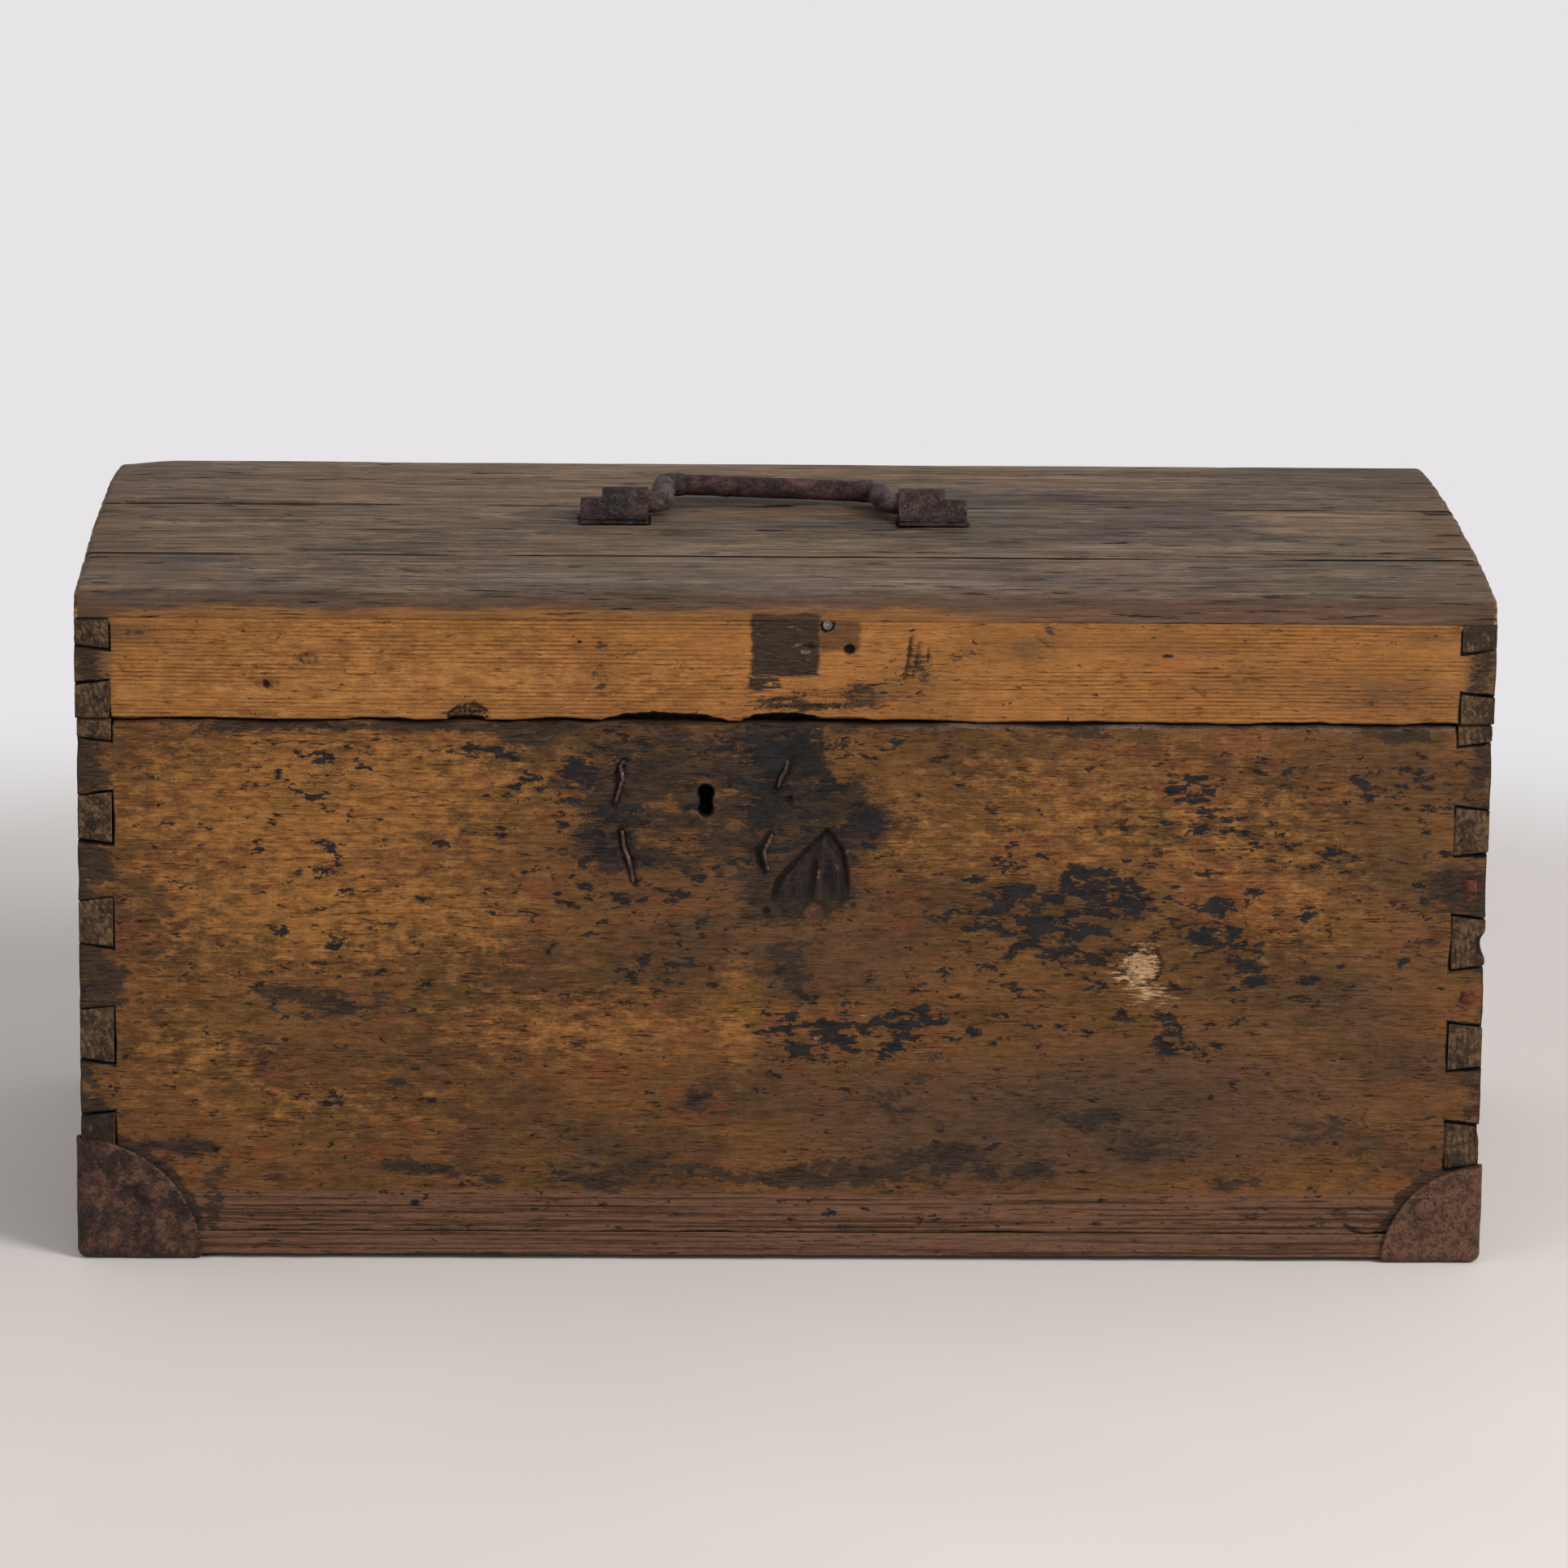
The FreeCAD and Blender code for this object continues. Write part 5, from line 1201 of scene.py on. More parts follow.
# %% Clinched points and sunk nails
def crooked_bar(path, thick):
    """A thin bar carried along a crooked line (x, z), with pointed ends; its middle
    stands a little out of the wood."""
    path = np.array(path, float)
    run = np.linspace(0, len(path) - 1, 34)
    x, z = (np.interp(run, np.arange(len(path)), path[:, k]) for k in range(2))
    share = run / run[-1]
    x += 0.35 * (rough(np.column_stack((run * 9, run, run)), (6, 6, 6), 61, 2) - 0.5)
    y = front_y + 0.8 - 1.1 * np.sin(math.pi * share) ** 0.6
    radius = thick * (0.45 + 0.55 * np.sin(math.pi * np.clip(share * 0.8 + 0.12, 0, 1)))
    turn = np.linspace(0, 2 * math.pi, 9)[:-1]
    along = np.gradient(np.column_stack((x, y, z)), axis=0)
    along /= np.linalg.norm(along, axis=1)[:, None]
    outward = np.array((0, -1.0, 0))
    out = outward - along * (along @ outward)[:, None]
    side = np.cross(along, out)
    square = 1 + 0.18 * np.cos(4 * turn)[None, :] * np.cos(share * 7)[:, None]
    rim = np.cos(turn)[None, :, None] * out[:, None] + np.sin(turn)[None, :, None] * side[:, None]
    rings = np.column_stack((x, y, z))[:, None] + rim * (radius[:, None] * square)[..., None]
    return rings.reshape(-1, 3), closed_tube(rings.shape[:2])


bent_points = [
    [(-78.6, 255.5), (-80.4, 257.4), (-82, 255), (-80.6, 249), (-82.6, 242), (-84.4, 236.5)],
    [(-80.8, 222), (-80.2, 215), (-77.6, 208), (-76.4, 203), (-75.2, 196)],
    [(0.9, 258.4), (-0.4, 253), (-2.6, 249.5), (-3.6, 244.5)],
    [(-6.4, 220.6), (-8.6, 215.6), (-10.4, 211.8), (-9.4, 207), (-8, 202.2)]]
lock_points, lock_faces = solid_arrays("lock_nails")
square_ends = lock_points[:, 1] < front_y + 0.1
lock_points[square_ends, 1] = front_y + 2.6 + (lock_points[square_ends, 1] - front_y) * 0.3
lock_points, lock_faces = [lock_points], lock_faces.tolist()
for path in bent_points:
    bar, bar_faces = crooked_bar(path, 1.0)
    offset = sum(len(part) for part in lock_points)
    lock_faces += [[corner + offset for corner in face] for face in bar_faces]
    lock_points.append(bar)
piece("lock_nails_clinched", np.concatenate(lock_points), lock_faces, "carcass", ("lock_nails",),
      {})
nail_points, nail_faces = solid_arrays("lid_plank_nails")
nail_points[:, 2] -= np.where(nail_points[:, 1] > 60, 1.6, 0.7) * soft_step(nail_points[:, 2], 312, 338)
piece("lid_nails_sunk", nail_points, nail_faces.tolist(), "lid", ("lid_plank_nails",), {})

# %% [markdown]
# ## The finishes
#
# A finish is a small recipe of nodes. A helper keeps the recipes readable: each line
# makes one node and returns its output. All patterns read the piece's own place in the
# chest, so they stay put when the lid opens.


# %% Recipe helper
def shade(red, green, blue):
    """A colour as the eye sees it, 0 to 255, as the light values that Blender mixes."""
    part = np.array((red, green, blue)) / 255
    light = np.where(part <= 0.04045, part / 12.92, ((part + 0.055) / 1.055) ** 2.4)
    return (*light.tolist(), 1.0)


def tinted(tone, light, tint=(1, 1, 1)):
    """A tone (red, green, blue) made lighter or darker, and tinted, by shares."""
    return shade(*[light * tone[k] * tint[k] for k in range(3)])


class Recipe:
    """One material under construction."""

    def __init__(self, name):
        self.material = bpy.data.materials.new(name)
        self.material.use_nodes = True
        self.nodes = self.material.node_tree.nodes
        self.links = self.material.node_tree.links
        self.nodes.clear()
        self.surface = self.nodes.new("ShaderNodeBsdfPrincipled")
        output = self.nodes.new("ShaderNodeOutputMaterial")
        self.links.new(self.surface.outputs[0], output.inputs[0])
        self.place = self.nodes.new("ShaderNodeTexCoord").outputs["Object"]
        split = self.nodes.new("ShaderNodeSeparateXYZ")
        self.links.new(self.place, split.inputs[0])
        self.x, self.y, self.z = split.outputs

    def put(self, value, socket):
        """Links another node's output, or sets a value. A tone is three whole numbers."""
        if isinstance(value, bpy.types.NodeSocket):
            self.links.new(value, socket)
        elif socket.type == "RGBA" and len(value) == 3:
            socket.default_value = shade(*value)
        else:
            socket.default_value = value

    def node(self, kind, *values, **settings):
        """A new node with some settings and its inputs in order, as its first output."""
        node = self.nodes.new("ShaderNode" + kind)
        for name, setting in settings.items():
            setattr(node, name, setting)
        for value, socket in zip(values, node.inputs):
            self.put(value, socket)
        return node.outputs[0]

    def math(self, how, a, b=0.0):
        return self.node("Math", a, b, 0.0, operation=how)

    def add(self, a, b):
        return self.math("ADD", a, b)

    def less(self, a, b):
        return self.math("SUBTRACT", a, b)

    def times(self, a, b):
        return self.math("MULTIPLY", a, b)

    def most(self, a, b):
        return self.math("MAXIMUM", a, b)

    def step(self, value, low, high, start=0.0, end=1.0):
        return self.node("MapRange", value, low, high, start, end, interpolation_type="SMOOTHSTEP")

    def vector(self, x, y, z):
        return self.node("CombineXYZ", x, y, z)

    def stretch(self, sizes, place):
        return self.node("VectorMath", place, sizes, operation="MULTIPLY")

    def noise(self, place, detail=2.0, roughness=0.5, distortion=0.0):
        """Noise at a place, or with hills per metre along x, y and z."""
        node = self.nodes.new("ShaderNodeTexNoise")
        place = self.stretch(place, self.place) if isinstance(place, tuple) else place
        for name, value in (("Scale", 1.0), ("Detail", detail), ("Roughness", roughness),
                            ("Distortion", distortion), ("Vector", place)):
            self.put(value, node.inputs[name])
        return node.outputs["Fac"]

    def grained(self, along, across, detail, roughness, distortion=0.0):
        """Noise in the wood's own place, with hills longer along the grain."""
        return self.noise(self.stretch((along, across, across), self.wood), detail, roughness, distortion)

    def sway(self, pattern, amount):
        """A pattern about its middle: (pattern - 0.5) * amount."""
        return self.times(self.less(pattern, 0.5), amount)

    def scaled(self, colour, share):
        node = self.nodes.new("ShaderNodeVectorMath")
        node.operation = "SCALE"
        self.put(shade(*colour)[:3] if isinstance(colour, tuple) else colour, node.inputs[0])
        self.put(share, node.inputs["Scale"])
        return node.outputs[0]

    def varied(self, colour, pattern, low, high, dark, light):
        """A colour times a share that goes from dark to light with a pattern."""
        return self.scaled(colour, self.step(pattern, low, high, dark, light))

    def mark(self, name):
        node = self.nodes.new("ShaderNodeAttribute")
        node.attribute_name = name
        return node.outputs["Fac"]

    def ragged_mark(self, name, weight, pattern, ragged, low, high):
        """A stored mark times its weight, made ragged by a pattern, as a soft step."""
        marked = self.times(self.mark(name), weight)
        return self.step(self.add(marked, self.sway(pattern, ragged)), low, high)

    def blend(self, share, a, b):
        node = self.nodes.new("ShaderNodeMix")
        node.data_type = "RGBA"
        self.put(share, node.inputs["Factor"])
        self.put(a, node.inputs["A"])
        self.put(b, node.inputs["B"])
        return node.outputs["Result"]

    def on_front(self):
        """1 on the front of the chest and 0 behind it."""
        return self.step(self.y, -0.150, -0.160)

    def band(self, value, low, high, soft):
        """1 between two limits in millimetres, with a soft rise and fall."""
        rise = self.step(value, (low - soft) * MM, (low + soft) * MM)
        return self.times(rise, self.step(value, (high - soft) * MM, (high + soft) * MM, 1, 0))

    def patch(self, low_x, high_x, low_z, high_z):
        """1 in an upright rectangle in millimetres, with slightly ragged sides."""
        ragged = self.sway(self.noise((90, 90, 260), 3, 0.6), 0.006)
        across = self.band(self.add(self.x, ragged), low_x, high_x, 1.2)
        return self.times(across, self.band(self.add(self.z, ragged), low_z, high_z, 1.2))

    def finish(self, colour, roughness, height, depth, metal=0.0, sheen=0.12):
        self.put(colour, self.surface.inputs["Base Color"])
        self.put(roughness, self.surface.inputs["Roughness"])
        self.put(metal, self.surface.inputs["Metallic"])
        self.put(sheen, self.surface.inputs["Specular IOR Level"])
        bump = self.nodes.new("ShaderNodeBump")
        bump.inputs["Strength"].default_value = 1.0
        bump.inputs["Distance"].default_value = depth * MM
        self.put(height, bump.inputs["Height"])
        self.links.new(bump.outputs[0], self.surface.inputs["Normal"])
        return self.material


print("a warm pine in light values:", [round(v, 3) for v in shade(145, 97, 53)])

# %% [markdown]
# ## Old pine
#
# Pine is drawn by its growth rings: a wide pale stripe, then a thin dark one. They are
# shells round the heart of the tree, so a board shows them as lines on its face and as
# arcs on its end. The recipe measures the distance to a heart outside the board and
# repeats a sharp-edged stripe along it. Fibres and slits follow the grain, and large
# soft clouds change the tone.
#
# Over the bare wood come sun, grime, flecks of old paint, and painted shade in the deepest hollows.


# %% Patterns of pine
def pine_patterns(r, grain, heart, ring, waver, squeeze, flow):
    """Gives a recipe the growth rings' dark line and noises from fibres to clouds."""
    along, cross = (r.x, r.y) if grain == 0 else (r.y, r.x)
    r.wood = r.vector(r.times(along, 1 / flow), r.times(cross, squeeze), r.z)
    shift = r.sway(r.noise(r.stretch((2.2, 7, 7), r.wood), 2, 0.5), waver * MM)
    across = r.less(r.add(cross, shift), heart[0] * MM)
    upward = r.less(r.add(r.z, shift), heart[1] * MM)
    away = r.math("SQRT", r.add(r.times(across, across), r.times(upward, upward)))
    stripe = r.math("FRACT", r.add(r.times(away, 1000 / ring), r.times(r.grained(9, 60, 3, 0.6), 0.9)))
    late = r.times(r.step(stripe, 0.45, 0.90), r.step(stripe, 0.92, 1.0, 1, 0))
    r.late = r.times(late, r.step(r.grained(7, 110, 3, 0.6), 0.38, 0.62, 0.1, 1.0))
    r.fibre = r.grained(180, 2200, 2, 0.6)
    r.streak = r.grained(78, 640, 5, 0.76)
    r.cloud = r.grained(9, 24, 6, 0.68)
    r.mottle = r.grained(88, 180, 7, 0.78)
    r.weave = r.noise(r.vector(r.times(along, 950), r.times(cross, 950), r.times(r.z, 90)), 2, 0.5)
    r.fleck = r.grained(120, 330, 3, 0.6)
    hue_hills = r.add(r.times(r.grained(24, 44, 6, 0.72), 0.7), r.times(r.fleck, 0.3))
    r.green, r.red = r.step(hue_hills, 0.50, 0.62), r.step(hue_hills, 0.48, 0.38)
    r.fine = r.add(r.times(r.streak, 0.45), r.add(r.times(r.fibre, 0.2), r.times(r.mottle, 0.35)))


# %% Bare wood
def bare_wood(r, tones, lines, contrast, hue):
    """Stripes in three tones, two hues, light and dark fibres, dull and fresh places."""
    pale, dark, cloudy, sunny_tone = tones
    line = r.times(r.late, lines)
    colour = r.blend(line, pale, dark)
    colour = r.blend(r.step(r.cloud, 0.42, 0.60), colour, r.blend(line, cloudy, dark))
    sunny = r.ragged_mark("sunny", 0.55, r.mottle, 1.1, 0.12, 0.42)
    colour = r.blend(sunny, colour, r.blend(line, sunny_tone, dark))
    colour = r.blend(r.times(r.green, hue), colour, tinted(tones[0], 0.86, (1.0, 1.06, 0.86)))
    colour = r.blend(r.times(r.red, hue), colour, tinted(tones[0], 0.94, (1.04, 0.90, 0.94)))
    colour = r.varied(colour, r.fine, 0.36, 0.64, 1 - 0.50 * contrast, 1 + 0.42 * contrast)
    colour = r.varied(colour, r.weave, 0.36, 0.64, 1 - 0.04 * contrast, 1 + 0.04 * contrast)
    dull = r.ragged_mark("dull", 0.6, r.mottle, 0.9, 0.10, 0.50)
    colour = r.blend(r.times(dull, 0.70), colour, r.varied((76, 58, 45), r.fine, 0.36, 0.64, 0.62, 1.38))
    bare = r.ragged_mark("bare", 0.75, r.streak, 1.5, 0.42, 0.62)
    fresh = r.blend(r.step(r.fibre, 0.35, 0.65), (146, 106, 70), (214, 178, 134))
    colour = r.blend(bare, colour, fresh)
    warm = r.ragged_mark("warm", 0.6, r.mottle, 1.2, 0.20, 0.50)
    warm_tone = r.varied((112, 82, 55), r.streak, 0.38, 0.62, 0.75, 1.2)
    return r.blend(r.times(warm, 0.8), colour, warm_tone)


# %% End wood, dirt and paint
def end_dirt_and_paint(r, colour, grime_tone, paint_tone, clean):
    """The rings on the ends, and films of dirt and flakes of paint where marks say."""
    end_wood = r.blend(r.times(r.late, 0.9), (142, 108, 74), (32, 23, 18))
    end_wood = r.varied(end_wood, r.mottle, 0.40, 0.60, 0.35, 1.30)
    end_wood = r.varied(end_wood, r.fleck, 0.38, 0.60, 0.64, 1.62)
    colour = r.blend(r.step(r.mark("end"), 0.35, 0.65), colour, end_wood)
    flake = r.add(r.times(r.grained(82, 185, 8, 0.70, 0.15), 0.84), r.times(r.streak, 0.16))
    spread = r.add(r.times(r.grained(46, 105, 9, 0.76, 0.3), 0.7), r.times(r.streak, 0.3))
    grime = r.add(r.times(r.mark("grime"), 0.25), spread)
    grime = r.step(grime, 0.634 + clean * 0.5, 0.652 + clean * 0.5)
    dirt = r.blend(r.step(r.streak, 0.4, 0.6), grime_tone, tinted(grime_tone, 1.6))
    dirt = r.varied(dirt, r.fibre, 0.3, 0.7, 0.8, 1.2)
    dirt = r.blend(r.times(r.green, 0.5), dirt, tinted(grime_tone, 1, (1.20, 1.32, 1.16)))
    colour = r.blend(r.times(grime, 0.88), colour, dirt)
    r.painted = r.step(r.add(r.times(r.mark("paint"), 0.150), flake), 0.606 + clean, 0.616 + clean)
    skin = r.blend(r.step(r.mottle, 0.4, 0.6), paint_tone, tinted(paint_tone, 1.45))
    colour = r.blend(r.painted, colour, r.varied(skin, r.fibre, 0.3, 0.7, 0.85, 1.15))
    speck = r.step(r.grained(190, 420, 4, 0.68), 0.640 + clean * 0.7, 0.662 + clean * 0.7)
    return r.blend(r.times(speck, 0.8), colour, grime_tone)


# %% Slits, knots, the torn place, edges and gaps
def marks_on_wood(r, colour, slits, inside_tone):
    """Dark slits, then what the marks knot, scar, rust, rim, hollow, gap and depth say."""
    slit_black = (26, 19, 15)
    slit = r.step(r.grained(80, 900, 3, 0.62), 0.60, 0.66)
    r.slit = r.times(slit, r.step(r.grained(18, 60, 3, 0.6), 0.40, 0.56))
    colour = r.blend(r.times(r.slit, slits), colour, slit_black)
    eye_wood = r.blend(r.step(r.mottle, 0.4, 0.6), (78, 50, 34), (128, 86, 58))
    eye_wood = r.varied(eye_wood, r.weave, 0.3, 0.7, 0.8, 1.2)
    colour = r.blend(r.times(r.mark("knot"), 0.75), colour, eye_wood)
    r.scarred = r.mark("scar")
    r.combed = r.noise((420, 420, 70), 4, 0.65)
    # The scar's tone is painted light and shade: near black in its cuts, paler on its ridges and near white at the
    # splinter's glint, over its own dark brown.
    torn = r.add(r.mark("torn"), r.sway(r.combed, 1.1))
    scar_tone_shade_and_glint = r.blend(r.step(torn, 0.0, 0.55), (15, 12, 11), (56, 41, 33))
    scar_tone_shade_and_glint = r.blend(r.step(torn, 0.60, 1.15), scar_tone_shade_and_glint, (108, 78, 60))
    scar_tone_shade_and_glint = r.blend(r.step(torn, 1.30, 1.75), scar_tone_shade_and_glint, (206, 194, 182))
    colour = r.blend(r.times(r.scarred, 0.94), colour, scar_tone_shade_and_glint)
    colour = r.blend(r.times(r.mark("rust"), 0.8), colour, (98, 50, 34))
    rim = r.step(r.add(r.mark("rim"), r.sway(r.mottle, 1.6)), 0.62, 1.15)
    colour = r.blend(r.times(rim, 0.72), colour, r.varied((52, 40, 32), r.streak, 0.3, 0.7, 0.6, 1.4))
    # Painted shade: the deepest hollows, such as holes, cuts and cracks, are painted near black.
    pit_shade = r.times(r.step(r.mark("hollow"), 0.62, 1.5), r.less(1.0, r.times(r.scarred, 0.7)))
    colour = r.blend(r.times(pit_shade, 0.86), colour, r.varied(slit_black, r.mottle, 0.4, 0.6, 0.6, 1.6))
    # Near black where the mark gap is: dark joints and seams, and painted shade in chip mouths and cracks and
    # beside the straps.
    gap = r.step(r.add(r.mark("gap"), r.sway(r.mottle, 0.5)), 0.50, 0.70)
    colour = r.blend(gap, colour, (14, 11, 9))
    inner = r.blend(r.times(r.late, 0.6), inside_tone, tinted(inside_tone, 0.7))
    within = r.times(r.step(r.mark("depth"), 0.985, 0.999), 0.9)
    return r.blend(within, colour, r.varied(inner, r.fine, 0.34, 0.66, 0.85, 1.12))


# %% Pine recipe
def pine(name, grain, tones, heart, ring=3.2, lines=0.6, contrast=1.0, waver=30.0, slits=0.6, extra=None,
         grime_tone=(38, 31, 26), squeeze=1.0, flow=1.0, clean=0.0, hue=0.5):
    """Old pine with its grain along an axis. tones: pale stripe, dark stripe, dull cloud,
    sunny. heart is where the tree's middle lies, and ring the width of a growth ring.

    squeeze widens all patterns across the grain, for a face that is seen at a low angle,
    and flow lengthens them along it. clean holds back flecks and specks."""
    paint_tone, inside_tone = (30, 27, 27), (140, 108, 76)
    r = Recipe(name)
    pine_patterns(r, grain, heart, ring, waver, squeeze, flow)
    colour = bare_wood(r, tones, lines, contrast, hue)
    if extra:
        colour = extra(r, colour)
    colour = end_dirt_and_paint(r, colour, grime_tone, paint_tone, clean)
    colour = marks_on_wood(r, colour, slits, inside_tone)
    height = r.add(r.times(r.late, -0.3), r.times(r.fibre, 0.5))
    for pattern, share in ((r.slit, -1.2), (r.streak, 1.6), (r.painted, 0.5), (r.mottle, 1.0),
                           (r.times(r.scarred, r.combed), 1.5)):
        height = r.add(height, r.times(pattern, share))
    smooth = r.add(r.times(r.painted, 0.14), r.times(r.scarred, 0.12))
    roughness = r.less(r.add(r.times(r.fibre, 0.2), 0.58), smooth)
    return r.finish(colour, roughness, height, 0.7, 0.0, r.add(r.times(r.scarred, 0.06), 0.12))


# %% Places on the front that differ
def lower_band(r, colour):
    """The redder strip along the foot of the front, worn straight, with dark open lines;
    half a dark ring round the pale knot, painted shade on the side of its hollow away from
    the lamp; and the paler rim at the board's top, partly worn wood and partly painted highlight."""
    edge = r.add(r.z, r.sway(r.streak, 0.010))
    front = r.on_front()
    band = r.times(r.step(edge, 0.0345, 0.0375, 1, 0), front)
    line = r.noise(r.vector(r.times(r.x, 5), 0.0, r.times(r.z, 560)), 3, 0.6)
    tone = r.blend(r.step(line, 0.48, 0.60), (114, 81, 61), (72, 49, 36))
    tone = r.varied(tone, r.streak, 0.35, 0.65, 0.78, 1.15)
    bent = r.add(r.z, r.sway(r.noise(r.vector(r.times(r.x, 9), 0.0, 0.0), 3, 0.6), 0.0022))
    for height in (0.0178, 0.0206, 0.0246, 0.0282, 0.0318):
        open_line = r.step(r.math("ABSOLUTE", r.less(bent, height)), 0.0003, 0.0008, 1, 0)
        shown = r.step(r.noise(r.vector(r.times(r.x, 12), height * 4000, 0.0), 3, 0.6), 0.46, 0.54)
        tone = r.blend(r.times(r.times(open_line, shown), 0.8), tone, (38, 26, 21))
    colour = r.blend(r.times(band, 0.88), colour, tone)
    # Painted shade: the right half of a ring round the pale knot's hollow is darkened.
    colour = r.blend(r.times(half_ring(r, 181, 154, 8.5, 1.3), 0.8), colour, (62, 40, 27))
    # Partly worn wood and partly painted highlight: a paler rim along the right part of the board's top.
    rim = r.times(r.step(edge, 0.2735, 0.2765), r.times(front, r.step(r.x, 0.03, 0.09)))
    return r.blend(r.times(rim, r.step(r.cloud, 0.40, 0.50, 0.25, 0.8)), colour, (112, 94, 84))


def half_ring(r, x, z, size, width):
    """1 on the right half of a ragged ring given in millimetres, and 0 elsewhere."""
    over, up = r.less(r.x, x * MM), r.less(r.z, z * MM)
    ragged = r.sway(r.noise((260, 260, 260), 3, 0.6), 5 * MM)
    away = r.math("SQRT", r.add(r.times(over, over), r.times(up, up)))
    off = r.math("ABSOLUTE", r.less(r.add(away, ragged), size * MM))
    ring = r.step(off, width * 0.4 * MM, width * MM, 1, 0)
    return r.times(ring, r.times(r.step(over, -0.001, 0.001), r.on_front()))


def oval(r, x, z, half_x, half_z):
    """1 in a slightly ragged oval given in millimetres, and 0 outside."""
    ragged = r.sway(r.noise((400, 400, 400), 3, 0.6), 1.1)
    over = r.times(r.less(r.x, x * MM), 1 / (half_x * MM))
    up = r.times(r.less(r.z, z * MM), 1 / (half_z * MM))
    return r.step(r.add(r.add(r.times(over, over), r.times(up, up)), ragged), 0.7, 1.2, 1, 0)


def hasp_ghost(r, colour):
    """The dark square that a hasp left on the lid, the browner strip beside it, and the
    pale scratches and the nail's dark ring in them; and a deep nail hole painted black as
    painted shade."""
    torn_edge = r.step(r.noise((60, 260, 260), 4, 0.65), 0.68, 0.61)
    dark = r.times(r.patch(-18, 16, 300.5, 345), torn_edge)
    worn_part = r.step(r.noise((50, 300, 300), 4, 0.68), 0.56, 0.50)
    dark = r.most(dark, r.times(r.patch(-19, -3, 293.5, 303), worn_part))
    brown = r.patch(16, 36, 314, 345)
    front = r.on_front()
    brown_tone = r.varied((80, 57, 39), r.streak, 0.35, 0.65, 0.7, 1.2)
    colour = r.blend(r.times(r.times(brown, front), 0.75), colour, brown_tone)
    dark_tone = r.blend(r.step(r.fibre, 0.35, 0.65), (36, 30, 27), (58, 49, 43))
    dark_tone = r.varied(dark_tone, r.streak, 0.35, 0.65, 0.7, 1.25)
    colour = r.blend(r.times(r.times(dark, front), 0.95), colour, dark_tone)
    colour = r.blend(r.times(oval(r, 19.9, 327.0, 4.0, 4.0), front), colour, (34, 25, 20))
    for place in ((9.2, 313.4, 2.6, 1.2), (7.4, 316.8, 4.0, 0.8)):
        scratch = r.times(r.times(oval(r, *place), front), 0.7)
        colour = r.blend(scratch, colour, (136, 108, 90))
    # Painted shade: the deep nail hole beside the hasp's mark is painted near black.
    return r.blend(r.times(oval(r, 30.9, 314.6, 3.0, 2.4), front), colour, (24, 17, 14))


# %% Mix the pines
pine_front = pine("pine_body_front", 0, ((118, 78, 43), (76, 47, 27), (86, 61, 38), (150, 101, 52)),
                  (60, -90), 3.6, 0.35, extra=lower_band, slits=0.8, hue=0.7)
pine_end = pine("pine_body_end", 1, ((106, 76, 48), (68, 46, 31), (82, 62, 44), (120, 90, 60)),
                (-480, 60), 2.8)
pine_back = pine("pine_body_back", 0, ((110, 78, 48), (72, 48, 31), (86, 63, 43), (124, 91, 58)), (120, 420))
pine_lid_front = pine("pine_lid_front", 0, ((160, 107, 56), (104, 61, 29), (144, 96, 51), (172, 118, 64)),
                      (-90, -260), 2.05, 0.85, contrast=0.62, waver=9, slits=0.4, hue=0.3, clean=0.035,
                      extra=hasp_ghost)
pine_lid_end = pine("pine_lid_end", 1, ((116, 82, 50), (74, 50, 33), (90, 66, 45), (130, 95, 60)),
                    (-500, 200), 2.6)
pine_bottom = pine("pine_bottom_boards", 0, ((92, 64, 46), (58, 38, 28), (74, 52, 40), (100, 72, 52)),
                   (-60, -300), 2.4, 0.7, extra=lower_band, clean=0.03)


